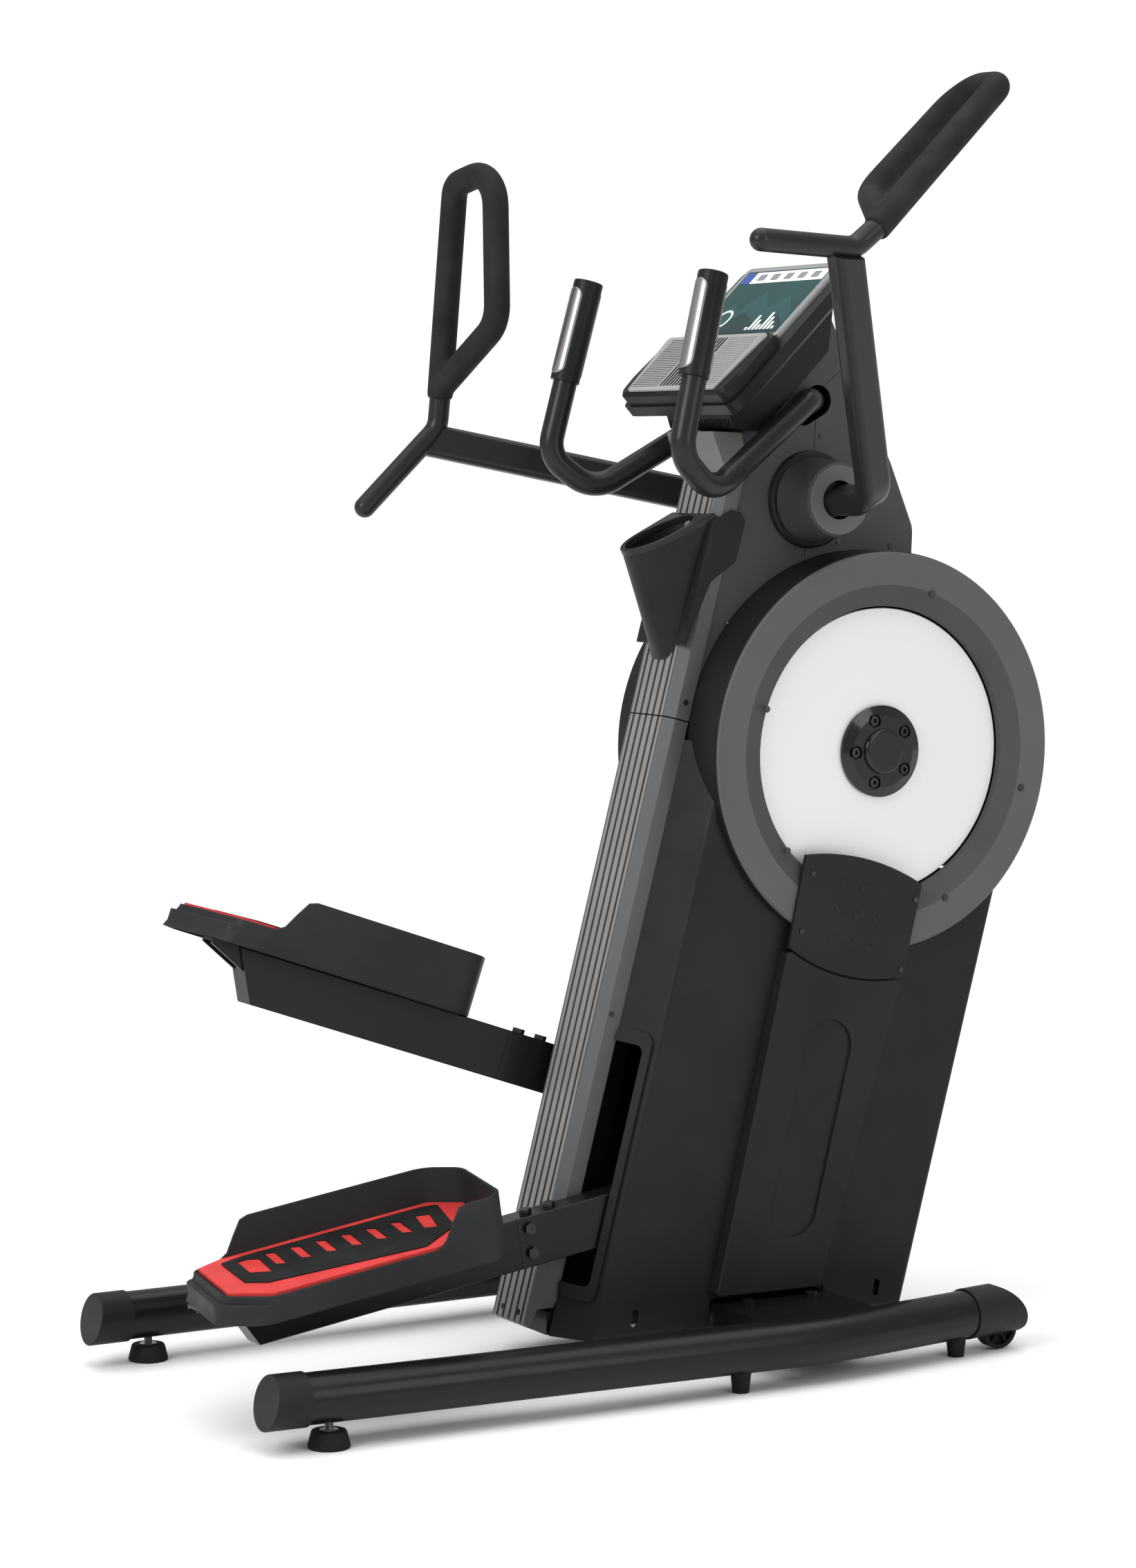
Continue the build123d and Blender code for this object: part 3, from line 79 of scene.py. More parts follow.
# Black cover of a pad in the same frame, with its slots
PAD_TOP = 163.1
COVER_RIM = ((62, -969), (55, -933), (55, -653), (64, -629), (183, -666), (241, -742), (204, -965), (175, -987))
HEEL_SLOT = ((74, -934), (74, -950), (141, -962), (163, -938), (86, -922))
TOE_SLOT = ((88, -678), (98, -660), (168, -684), (158, -700))
SLOT_SHAPE = ((0, 0), (66, -13), (76, -1), (10, 12))
SLOT_STARTS = ((64, -943), (90, -681))
SLOT_GAPS = 7

# Console panel in the slab's frame
PANEL = ((-119, 8), (119, 8), (135, 124), (-135, 124))
BAR_PITCH = 8.5
BARS = 9


# ---- materials ---------------------------------------------------------------------------


class Surface:
    """A procedural material on a part, built up from its tone, its sheen and its grain."""

    def __init__(self, name, roughness, metallic=0.0, coat=0.0, specular=0.5):
        self.material = bpy.data.materials.new(name)
        self.material.use_nodes = True
        self.tree = self.material.node_tree
        self.shader = self.tree.nodes["Principled BSDF"]
        self.shader.inputs["Roughness"].default_value = roughness
        self.shader.inputs["Metallic"].default_value = metallic
        self.shader.inputs["Coat Weight"].default_value = coat
        self.shader.inputs["Coat Roughness"].default_value = 0.08
        self.shader.inputs["Specular IOR Level"].default_value = specular
        self.place = self.add("ShaderNodeTexCoord").outputs["Object"]
        self.normal = None

    def feed(self, socket, value):
        """Link an output to a socket, or set the socket to a number or a colour."""
        if isinstance(value, bpy.types.NodeSocket):
            self.tree.links.new(value, socket)
        else:
            socket.default_value = value

    def add(self, kind, **values):
        """Add a node, its inputs given by name with underscores for spaces."""
        node = self.tree.nodes.new(kind)
        for name, value in values.items():
            self.feed(node.inputs[name.replace("_", " ")], value)
        return node

    def link(self, output, socket):
        self.tree.links.new(output, self.shader.inputs[socket])

    def noise(self, scale, detail=3.0, roughness=0.55, stretch=None):
        """Smooth noise over the part; a stretch squeezes it along the axes."""
        place = self.place
        if stretch:
            place = self.add("ShaderNodeMapping", Vector=place, Scale=stretch).outputs["Vector"]
        node = self.add("ShaderNodeTexNoise", Vector=place, Scale=scale, Detail=detail, Roughness=roughness)
        return node.outputs["Fac"]

    def ramp(self, value, stops):
        """Colour ramp: (position, colour or grey level) stops."""
        node = self.add("ShaderNodeValToRGB", Fac=value)
        while len(node.color_ramp.elements) < len(stops):
            node.color_ramp.elements.new(0.5)
        for element, (position, colour) in zip(node.color_ramp.elements, stops):
            element.position = position
            grey = isinstance(colour, float)
            element.color = (colour, colour, colour, 1) if grey else (*colour, 1)
        return node.outputs["Color"]

    def drift(self, dark, light, scale=5.0, detail=3.0, stops=(0.35, 0.65)):
        """Colour that drifts between two tones."""
        return self.ramp(self.noise(scale, detail), [(stops[0], dark), (stops[1], light)])

    def mix(self, mask, below, above):
        """Colour that goes from one tone to another where a mask is on."""
        node = self.add("ShaderNodeMix")
        node.data_type = "RGBA"
        for socket, value in ((0, mask), (6, below), (7, above)):
            self.feed(node.inputs[socket], (*value, 1) if isinstance(value, tuple) else value)
        return node.outputs[2]

    def tone(self, dark, light, scale=6.0, detail=4.0):
        """Base colour that drifts between two tones."""
        self.link(self.drift(dark, light, scale, detail), "Base Color")
        return self

    def sheen(self, low, high, scale=14.0):
        """Roughness that drifts between two values, as handled and moulded surfaces do."""
        self.link(self.drift(low, high, scale, 5.0, (0.35, 0.7)), "Roughness")
        return self

    def bump(self, height, depth, distance=0.001):
        """Relief from a height, on top of any before it."""
        values = {"Height": height, "Strength": depth, "Distance": distance}
        if self.normal is not None:
            values["Normal"] = self.normal
        self.normal = self.add("ShaderNodeBump", **values).outputs["Normal"]
        self.link(self.normal, "Normal")
        return self

    def grain(self, scale, depth, detail=2.0, stretch=None, distance=0.001):
        """Fine relief, such as moulded texture or powder coat."""
        return self.bump(self.noise(scale, detail, 0.6, stretch), depth, distance)

    def axis(self, name):
        """One coordinate of the surface in metres."""
        return self.add("ShaderNodeSeparateXYZ", Vector=self.place).outputs[name]

    def offset(self, name, origin):
        """One coordinate from an origin in millimetres, in metres."""
        return self.math("SUBTRACT", self.axis(name), origin / 1000)

    def math(self, operation, first, second=0.0, third=0.0):
        node = self.add("ShaderNodeMath")
        node.operation = operation
        for socket, value in zip(node.inputs, (first, second, third)):
            self.feed(socket, value)
        return node.outputs["Value"]

    def repeat(self, value, pitch):
        """Distance from the nearest line of a grid, in metres, the pitch in millimetres."""
        return self.math("WRAP", value, pitch / 2000, -pitch / 2000)

    def under(self, value, limit):
        """Mask of where a value's size is under a limit."""
        return self.math("LESS_THAN", self.math("ABSOLUTE", value), limit)


def moulded(name, dark, light, low=0.42, high=0.55, grain=0.18, grain_scale=1400.0):
    """Moulded plastic: a faint tonal drift, a satin sheen and a fine texture."""
    surface = Surface(name, 0.5, specular=0.16)
    surface.tone(dark, light)
    surface.sheen(low, high)
    surface.grain(grain_scale, grain, distance=0.0004)
    return surface


def enamel(name, dark, light, low, high, coat=0.0, peel=0.05):
    """Sprayed paint with slight orange peel."""
    surface = Surface(name, low, coat=coat, specular=0.2)
    surface.tone(dark, light, 3.0)
    surface.sheen(low, high, 9.0)
    surface.grain(260.0, peel, distance=0.0006)
    return surface


def rubber(name, dark, light, grain=0.35, scale=900.0, low=0.6, high=0.8):
    """Rubber or foam with pores and a dull, uneven sheen."""
    surface = Surface(name, 0.7, specular=0.14)
    surface.tone(dark, light, 18.0)
    surface.sheen(low, high, 30.0)
    surface.grain(scale, grain, 3.0, distance=0.0006)
    return surface


def metal(name, dark, light, low, high, stretch=None, grain=0.08, scale=240.0):
    """Bare metal with brushing along the stretched axis."""
    surface = Surface(name, low, metallic=1.0)
    surface.tone(dark, light, 8.0)
    brushing = surface.noise(60.0, 6.0, 0.6, stretch)
    surface.link(surface.ramp(brushing, [(0.3, low), (0.7, high)]), "Roughness")
    surface.grain(scale, grain, 4.0, stretch, distance=0.0003)
    return surface


def lit(name, dark, light, strength):
    """Screen colour with its own light."""
    surface = moulded(name, dark, light, 0.12, 0.2, 0.02)
    surface.link(surface.drift(dark, light, 14.0), "Emission Color")
    surface.shader.inputs["Emission Strength"].default_value = strength
    return surface


def threaded(name):
    """Steel stud with a rolled thread."""
    surface = metal(name, (0.4, 0.4, 0.41), (0.52, 0.52, 0.53), 0.25, 0.38)
    turn = surface.math("ABSOLUTE", surface.repeat(surface.axis("Z"), 1.5))
    return surface.bump(surface.math("MULTIPLY", turn, 1300.0), 0.7, 0.0008)


def silver_disc():
    """Painted metal with fine flakes."""
    surface = Surface("disc_silver", 0.34, metallic=0.25)
    surface.tone((0.62, 0.635, 0.64), (0.7, 0.712, 0.715), 900.0)
    surface.sheen(0.3, 0.42, 700.0)
    return surface.grain(1500.0, 0.1, distance=0.0004)


def drum_cover_and_bevel_shade():
    """Black drum whose outer face is grey, with painted shade that makes its inner bevel a darker grey."""
    bevel_shade_reach, wall_reach, face_x = 0.2463, 0.2475, 0.1372
    surface = moulded("drum_cover_and_bevel_shade", (0.02, 0.02, 0.02), (0.02, 0.02, 0.02), 0.42, 0.55, 0.1)
    forward = surface.offset("Y", CRANK[0])
    upward = surface.math("POWER", surface.offset("Z", CRANK[1]), 2.0)
    reach = surface.math("SQRT", surface.math("MULTIPLY_ADD", forward, forward, upward))
    face = surface.drift((0.078, 0.08, 0.082), (0.088, 0.09, 0.092))
    # Painted shade: the inner bevel takes a darker grey than the face, standing in for the shade on it; the face
    # inside the bevel's reach gets it below.
    bevel = surface.drift((0.05, 0.051, 0.053), (0.058, 0.059, 0.061))
    wall = surface.drift((0.008, 0.008, 0.0085), (0.011, 0.011, 0.0115))
    inner = surface.mix(surface.math("LESS_THAN", reach, bevel_shade_reach), face, bevel)
    outside = surface.math("GREATER_THAN", reach, wall_reach)
    rim = surface.math("MULTIPLY", outside, surface.under(surface.axis("X"), face_x))
    surface.link(surface.mix(rim, inner, wall), "Base Color")
    return surface


def hub_cone():
    """Arm hub: black base ring, dark grey cone and a lighter end face."""
    base_x, face_x = 0.0685, 0.1375
    surface = moulded("hub_cone", (0.03, 0.03, 0.03), (0.03, 0.03, 0.03), 0.36, 0.5, 0.08)
    across = surface.math("ABSOLUTE", surface.axis("X"))
    cone = surface.drift((0.034, 0.035, 0.037), (0.042, 0.043, 0.046), 8.0)
    base = surface.mix(surface.math("GREATER_THAN", across, base_x), (0.011, 0.011, 0.012), cone)
    face = surface.mix(surface.math("GREATER_THAN", across, face_x), base, (0.1, 0.102, 0.106))
    surface.link(face, "Base Color")
    return surface


def speaker_grille():
    """Warm grey panel: punched dots on the right, fine slots on the left, dark bars between."""
    cell, dot, slot, bar = 4.0, 0.00115, 0.0008, 0.0025
    bar_band, plain_band, edge_x = 0.0375, 0.041, 0.116
    low_row, high_row = 0.0155, 0.1175
    tilt = radians(CONSOLE_TILT)
    surface = moulded("speaker_grille", (0.3, 0.3, 0.295), (0.33, 0.33, 0.325), 0.4, 0.5, 0.08)
    across = surface.axis("X")
    lift = surface.math("MULTIPLY", surface.offset("Z", CONSOLE[1]), sin(tilt))
    along = surface.math("MULTIPLY_ADD", surface.offset("Y", CONSOLE[0]), cos(tilt), lift)
    cell_x, cell_y = surface.repeat(across, cell), surface.repeat(along, cell)
    reach = surface.math("MULTIPLY_ADD", cell_x, cell_x, surface.math("MULTIPLY", cell_y, cell_y))
    dots = surface.math("LESS_THAN", reach, dot**2)
    slots = surface.under(cell_y, slot)
    bars = surface.under(surface.repeat(across, BAR_PITCH), bar)
    bars = surface.math("MULTIPLY", bars, surface.under(across, bar_band))
    right = surface.math("GREATER_THAN", across, plain_band)
    left = surface.math("MULTIPLY", slots, surface.math("LESS_THAN", across, -plain_band))
    low = surface.math("GREATER_THAN", along, low_row)
    rows = surface.math("MULTIPLY", low, surface.math("LESS_THAN", along, high_row))
    inside = surface.math("MULTIPLY", rows, surface.under(across, edge_x))
    holes = surface.math("ADD", surface.math("MULTIPLY_ADD", dots, right, left), bars)
    holes = surface.math("MULTIPLY", holes, inside)
    plain = surface.drift((0.29, 0.29, 0.285), (0.33, 0.33, 0.325), 6.0)
    surface.link(surface.mix(holes, plain, (0.012, 0.012, 0.012)), "Base Color")
    return surface.bump(surface.math("SUBTRACT", 1.0, holes), 0.6, 0.0006)


def ribbed_column_with_groove_shade():
    """Moulding with warm light rib tops, painted shade that darkens its grooves, and cooler flanges."""
    surface = Surface("column_grey", 0.5)
    across = surface.math("ABSOLUTE", surface.axis("X"))
    from_groove = surface.math("ABSOLUTE", surface.repeat(across, 17.0))
    # Painted shade: the grooves between the ribs get a near-black tone, standing in for the shade that falls in them.
    clear_of_groove_shade = surface.ramp(surface.math("MULTIPLY", from_groove, 100.0), [(0.25, 0.0), (0.30, 1.0)])
    rib = surface.drift((0.185, 0.182, 0.176), (0.215, 0.212, 0.205), stops=(0.3, 0.7))
    ribs_and_groove_shade = surface.mix(clear_of_groove_shade, (0.02, 0.02, 0.021), rib)
    flange = surface.drift((0.06, 0.062, 0.064), (0.068, 0.0705, 0.073), stops=(0.3, 0.7))
    side = surface.ramp(surface.math("MULTIPLY", across, 10.0), [(0.425, 0.0), (0.435, 1.0)])
    surface.link(surface.mix(side, ribs_and_groove_shade, flange), "Base Color")
    surface.sheen(0.4, 0.52)
    return surface.grain(1400.0, 0.12, distance=0.0004)


# Surfaces by material slot
surfaces = {
    "frame_black": enamel("frame_black", (0.0045, 0.0045, 0.005), (0.0065, 0.0065, 0.007), 0.28, 0.36, 0.05, 0.03),
    "plastic_black": moulded("plastic_black", (0.0095, 0.0095, 0.0098), (0.0135, 0.0135, 0.0138)),
    "plastic_soft": moulded("plastic_soft", (0.009, 0.0095, 0.0095), (0.012, 0.0125, 0.0125), 0.36, 0.46),
    "column_grey": ribbed_column_with_groove_shade(),
    "ring_grey": drum_cover_and_bevel_shade(),
    "disc_silver": silver_disc(),
    "hub_gloss": enamel("hub_gloss", (0.006, 0.006, 0.0065), (0.009, 0.009, 0.0095), 0.12, 0.2, 0.35, 0.02),
    "gloss_black": enamel("gloss_black", (0.011, 0.011, 0.011), (0.015, 0.015, 0.015), 0.3, 0.4, 0.08, 0.02),
    "foam_black": rubber("foam_black", (0.012, 0.0122, 0.012), (0.018, 0.0182, 0.018)),
    "tray_black": moulded("tray_black", (0.014, 0.0145, 0.016), (0.02, 0.0205, 0.022), 0.5, 0.65, 0.4, 700.0),
    "pad_red": rubber("pad_red", (0.50, 0.035, 0.033), (0.60, 0.048, 0.044), 0.2, 700.0, 0.42, 0.55),
    "rubber_black": rubber("rubber_black", (0.008, 0.008, 0.008), (0.013, 0.013, 0.013)),
    "screen_glass": lit("screen_dark", (0.004, 0.022, 0.024), (0.008, 0.05, 0.05), 0.35),
    "bezel_silver": metal("bezel_silver", (0.55, 0.56, 0.57), (0.62, 0.63, 0.64), 0.28, 0.4, (1, 12, 12)),
    "panel_grey": speaker_grille(),
    "contact_steel": metal(
        "contact_steel", (0.3, 0.295, 0.285), (0.36, 0.355, 0.345), 0.3, 0.38, (14, 14, 1), 0.03
    ),
    "steel": metal("steel", (0.42, 0.42, 0.43), (0.52, 0.52, 0.53), 0.25, 0.4, (14, 1, 1)),
    "aluminium": metal("aluminium", (0.52, 0.52, 0.53), (0.62, 0.62, 0.63), 0.3, 0.45),
    "iron": metal("iron", (0.1, 0.1, 0.105), (0.16, 0.16, 0.165), 0.4, 0.6),
    "bolt_black": metal("bolt_black", (0.04, 0.04, 0.042), (0.07, 0.07, 0.072), 0.32, 0.45),
}

# Surfaces of single nodes that differ from their slot's
hub_surface = hub_cone()
special = {
    "arm_hub_right": hub_surface,
    "arm_hub_left": hub_surface,
    "console_neck": moulded("neck_grey", (0.12, 0.12, 0.118), (0.15, 0.15, 0.147), 0.4, 0.5, 0.1),
    "upper_shells": moulded("upper_grey", (0.05, 0.052, 0.055), (0.058, 0.061, 0.064), 0.42, 0.54, 0.1),
}
for part in frame["record"]["subparts"]:
    surface = special.get(part["node"], surfaces[part["material_slot"]])
    nodes[part["node"]].data.materials[0] = surface.material

stud_steel = threaded("stud_steel")
screen_white = lit("screen_white", (0.72, 0.74, 0.76), (0.78, 0.8, 0.82), 0.35)
screen_blue = lit("screen_blue", (0.02, 0.05, 0.2), (0.03, 0.07, 0.26), 0.5)
screen_hill = lit("screen_hill", (0.004, 0.022, 0.022), (0.006, 0.032, 0.03), 0.3)
screen_ridge = lit("screen_ridge", (0.008, 0.045, 0.048), (0.012, 0.062, 0.064), 0.3)
screen_grey = lit("screen_grey", (0.16, 0.17, 0.18), (0.2, 0.21, 0.22), 0.3)


# ---- shapes ------------------------------------------------------------------------------


def tilted(origin, angle):
    """Frame turned about the body's X at a (Y, Z) origin in millimetres."""
    turn = radians(angle)
    rows = Matrix(((1, 0, 0), (0, cos(turn), -sin(turn)), (0, sin(turn), cos(turn)))).to_4x4()
    return Matrix.Translation(Vector((0, *origin)) / 1000) @ rows


def arm_spot(side, x, y, z):
    """Point of an arm's own frame, in metres."""
    angle = radians(ARM_ANGLE[side])
    forward = ARM_PIVOT[0] + y * cos(angle) - z * sin(angle)
    upward = ARM_PIVOT[1] + y * sin(angle) + z * cos(angle)
    return Vector((HANDS[side] * x, forward, upward)) / 1000


def finished(holder):
    """Mesh of an object with its modifiers applied."""
    bpy.context.scene.collection.objects.link(holder)
    view = bpy.context.evaluated_depsgraph_get()
    mesh = bpy.data.meshes.new_from_object(holder.evaluated_get(view))
    bpy.data.objects.remove(holder)
    return mesh


def place(name, mesh, surface, body, slot, crease=40.0):
    """Link a piece that rides on a body, smooth but for its creases."""
    piece = bpy.data.objects.new(name, mesh)
    mesh.materials.clear()
    mesh.materials.append(surface.material)
    mesh.shade_smooth()
    mesh.set_sharp_from_angle(angle=radians(crease))
    bpy.context.scene.collection.objects.link(piece)
    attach(piece, body)
    return piece


def as_mesh(built, name):
    """Mesh data of a bmesh, its faces turned outward."""
    bmesh.ops.recalc_face_normals(built, faces=built.faces)
    mesh = bpy.data.meshes.new(name)
    built.to_mesh(mesh)
    built.free()
    return mesh


def lofted(rings, name):
    """Closed skin through rings of points in metres, capped at both ends."""
    built = bmesh.new()
    rows = [[built.verts.new(point) for point in ring] for ring in rings]
    count = len(rows[0])
    for first, second in zip(rows, rows[1:]):
        for k in range(count):
            following = (k + 1) % count
            built.faces.new((first[k], first[following], second[following], second[k]))
    built.faces.new(rows[0])
    built.faces.new(rows[-1])
    return as_mesh(built, name)


def corner_arcs(points, radii, inset=0.0, steps=8):
    """Arc of points for each corner of a closed line; an inset draws the arcs in."""
    arcs = []
    for k, here in enumerate(points):
        back = (points[k - 1] - here).normalized()
        ahead = (points[(k + 1) % len(points)] - here).normalized()
        half = back.angle(ahead) / 2
        centre = here + (back + ahead).normalized() * (radii[k] / sin(half))
        tangent = radii[k] * cos(half) / sin(half)
        start = here + back * tangent - centre
        end = here + ahead * tangent - centre
        turn = start.angle(end)
        draw_in = (1 - inset / radii[k]) / sin(turn)
        shares = [turn * n / steps for n in range(steps + 1)]
        arcs.append([centre + (start * sin(turn - part) + end * sin(part)) * draw_in for part in shares])
    return arcs


def rounded_flat(points, radius):
    """Closed outline of (x, y) points with its corners rounded."""
    arcs = corner_arcs([Vector((*point, 0)) for point in points], [radius] * len(points))
    return [(point.x, point.y) for arc in arcs for point in arc]


def box_outline(x0, y0, x1, y1, radius):
    """Rectangle with rounded corners."""
    return rounded_flat(((x0, y0), (x1, y0), (x1, y1), (x0, y1)), radius)


def plate(outlines, matrix, base, thick, edge):
    """Flat sheet with rounded edges from closed outlines in millimetres; inner ones are holes."""
    curve = bpy.data.curves.new("outline", "CURVE")
    curve.dimensions = "2D"
    curve.fill_mode = "BOTH"
    curve.extrude = (thick / 2 - edge) / 1000
    curve.bevel_depth = edge / 1000
    curve.bevel_resolution = 2
    curve.offset = -edge / 1000
    for outline in outlines:
        line = curve.splines.new("POLY")
        line.points.add(len(outline) - 1)
        for point, (x, y) in zip(line.points, outline):
            point.co = (x / 1000, y / 1000, 0, 1)
        line.use_cyclic_u = True
    mesh = finished(bpy.data.objects.new("outline", curve))
    mesh.transform(matrix @ Matrix.Translation((0, 0, (base + thick / 2) / 1000)))
    return mesh


def tube(points, radius, sides=32):
    """Closed-ended tube along a line of points in metres."""
    rings = []
    across = None
    for k, point in enumerate(points):
        ahead = (points[min(k + 1, len(points) - 1)] - points[max(k - 1, 0)]).normalized()
        if across is None:
            across = ahead.orthogonal()
        across = (across - ahead * across.dot(ahead)).normalized()
        other = ahead.cross(across)
        turns = [2 * pi * n / sides for n in range(sides)]
        rings.append([point + (across * cos(turn) + other * sin(turn)) * radius for turn in turns])
    return lofted(rings, "tube")


def turned(spot, profile, sides=64):
    """Solid of revolution about an upright axis, from (radius, height) points in millimetres."""
    turns = [2 * pi * n / sides for n in range(sides)]
    rings = [
        [Vector((spot[0] + radius * cos(turn), spot[1] + radius * sin(turn), height)) / 1000 for turn in turns]
        for radius, height in profile
    ]
    return lofted(rings, "turned")


def ease(share):
    """Smooth step from 0 to 1."""
    share = min(1.0, max(0.0, share))
    return share * share * (3 - 2 * share)


# ---- detailed pieces ---------------------------------------------------------------------


def foam_loop(side):
    """Foam loop of an arm: a straight outer leg, and a bow that comes back into its foot."""
    corners = [arm_spot(side, *point) for point in LOOP]
    foot = corners[0] + (corners[0] - corners[1]).normalized() * (LOOP_FOOT / 1000)
    bends = []
    for k in range(1, len(corners) - 1):
        bends += corner_arcs(corners[k - 1 : k + 2], [LOOP_CORNERS[k] / 1000] * 3)[1]
    holder = bpy.data.objects.new("loop", tube([foot, corners[0], *bends, corners[-1]], LOOP_R / 1000))
    merge = holder.modifiers.new("merge", "REMESH")
    merge.mode = "VOXEL"
    merge.voxel_size = 0.0025
    smooth = holder.modifiers.new("smooth", "SMOOTH")
    smooth.factor = 0.5
    smooth.iterations = 20
    mesh = finished(holder)
    piece = place(f"foam_loop_{side}", mesh, surfaces["foam_black"], f"arm_{side}", "foam_black", 75.0)
    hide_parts(f"arm_grip_{side}")


def tray_line(inset):
    """Outline of a tray, drawn in by an inset, with the same points whatever the inset is."""
    between = 24
    arcs = corner_arcs([Vector((*point, 0)) for point in TRAY_OUTLINE], TRAY_CORNERS, inset)
    line = []
    for k, arc in enumerate(arcs):
        following = arcs[(k + 1) % len(arcs)][0]
        line += arc
        line += [arc[-1].lerp(following, n / between) for n in range(1, between)]
    return line


def tray_point(side, edge, point, level):
    """Point of a tray's skin in metres, its level set by where the outer edge is."""
    ramp = TRAY_RAMP["inner" if edge.x < TRAY_SPLIT_X else "outer"]
    rim, wall = TRAY_RIM
    top = rim + (wall - rim) * ease((edge.y - ramp) / TRAY_RAMP_RUN)
    flare_start, flare_run = TRAY_FLARE_RUN
    flare = TRAY_FLARE * ease((flare_start - edge.y) / flare_run)
    forward = point.y - flare if level in ("sole", "skirt") else point.y
    return Vector((HANDS[side] * point.x, forward, TRAY_LEVELS.get(level, top))) / 1000


def tray(side):
    """Moulded pedal tray: a deck with a wall round the toe that dies away towards the heel."""
    outer, inner = tray_line(0.0), tray_line(TRAY_WALL)
    path = (
        (inner, "sole"),
        (inner, "skirt"),
        (outer, "skirt"),
        (outer, "deck"),
        (outer, "lip"),
        (inner, "lip"),
        (inner, "deck"),
    )
    rings = [[tray_point(side, edge, point, level) for edge, point in zip(outer, line)] for line, level in path]
    mesh = lofted(rings, "tray")
    mesh.transform(tilted(PEDAL_PIVOT, PEDAL_PITCH[side]))
    holder = bpy.data.objects.new("tray", mesh)
    bevel = holder.modifiers.new("bevel", "BEVEL")
    bevel.width = 0.0014
    bevel.segments = 3
    bevel.limit_method = "ANGLE"
    bevel.angle_limit = radians(50)
    piece = place(f"tray_shell_{side}", finished(holder), surfaces["tray_black"], f"pedal_{side}", "tray_black", 50.0)
    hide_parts(f"tray_{side}")


def pad_cover(side):
    """Black rubber cover of a pad, its slots open to the red below."""
    hand = HANDS[side]
    (first_x, first_f), (last_x, last_f) = SLOT_STARTS
    slots = []
    for rank in range(1, SLOT_GAPS):
        share = rank / SLOT_GAPS
        start_x = first_x + (last_x - first_x) * share
        start_f = first_f + (last_f - first_f) * share
        slots.append([(start_x + x, start_f + f) for x, f in SLOT_SHAPE])
    outlines = [rounded_flat([(hand * x, f) for x, f in COVER_RIM], 5.0)]
    for slot in (*slots, HEEL_SLOT, TOE_SLOT):
        outlines.append(rounded_flat([(hand * x, f) for x, f in slot], 2.0))
    mesh = plate(outlines, tilted(PEDAL_PIVOT, PEDAL_PITCH[side]), PAD_TOP - 0.4, 2.6, 0.6)
    place(f"pad_cover_{side}", mesh, surfaces["rubber_black"], f"pedal_{side}", "rubber_black")


def levelling_foot(side):
    """Rubber foot with a threaded steel stud and a washer."""
    spot = (HANDS[side] * LEVELLER[0], LEVELLER[1])
    cone = ((26.5, 0), (28.4, 0.6), (29.0, 2.2), (28.3, 6.5), (24.4, 21.5), (23.0, 23.6), (20.6, 24.2), (7.0, 24.2))
    rubber_foot = turned(spot, cone)
    piece = place(f"foot_rubber_{side}", rubber_foot, surfaces["rubber_black"], f"foot_{side}", "rubber_black")
    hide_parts(f"levelling_foot_{side}")
    stud = turned(spot, ((5.2, 23.8), (5.9, 24.6), (5.9, 71.4), (5.4, 72.0)), 48)
    place(f"foot_stud_{side}", stud, stud_steel, f"foot_{side}", "steel")
    washer = turned(spot, ((12.0, 23.6), (12.4, 24.0), (12.4, 24.7), (11.8, 25.0), (6.0, 25.0)), 48)
    place(f"foot_collar_{side}", washer, surfaces["steel"], f"foot_{side}", "steel")


def speaker_panel():
    """Panel over the speakers, with nine slots that run up it."""
    half, low, high = 2.2, 16, 117
    outlines = [rounded_flat(PANEL, 7.0)]
    for rank in range(BARS):
        across = BAR_PITCH * (rank - BARS // 2)
        outlines.append(box_outline(across - half, low, across + half, high, half - 0.1))
    mesh = plate(outlines, tilted(CONSOLE, CONSOLE_TILT), 7.2, 4.0, 0.7)
    piece = place("speaker_grille", mesh, surfaces["panel_grey"], "frame", "panel_grey")
    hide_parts("speaker_panel")


def screen_picture():
    """Generic workout page: header, hills, a progress ring and a row of bars."""
    slab = tilted(CONSOLE, CONSOLE_TILT)
    back, middle, front = -5.9, -5.75, -5.5
    ridge = ((-110, 170), (-70, 214), (-46, 196), (-8, 238), (30, 200), (66, 226), (110, 184), (110, 150), (-110, 150))
    hill = ((-110, 146), (-110, 182), (-60, 168), (-20, 192), (34, 164), (76, 186), (110, 160), (110, 146))
    icons = [box_outline(-70 + 36 * n, 263, -50 + 36 * n, 277, 3.0) for n in range(5)]
    bars = [box_outline(20 + 10 * n, 152, 26 + 10 * n, 158 + 5 * (n * 5 % 7), 1.0) for n in range(8)]
    turns = [2 * pi * n / 48 for n in range(48)]
    ring = [[(-66 + reach * cos(turn), 178 + reach * sin(turn)) for turn in turns] for reach in (20, 16)]
    layers = (
        ("ridge", screen_ridge, back, [ridge]),
        ("hill", screen_hill, middle, [hill]),
        ("header", screen_white, middle, [box_outline(-84, 258, 110, 282, 1.5)]),
        ("tile", screen_blue, middle, [box_outline(-110, 258, -86, 282, 1.5)]),
        ("icons", screen_grey, front, icons),
        ("bars", screen_white, front, bars),
        ("ring", screen_white, front, ring),
    )
    for name, surface, base, outlines in layers:
        mesh = plate(outlines, slab, base, 0.3, 0.05)
        place(f"screen_{name}", mesh, surface, "frame", "screen_glass")


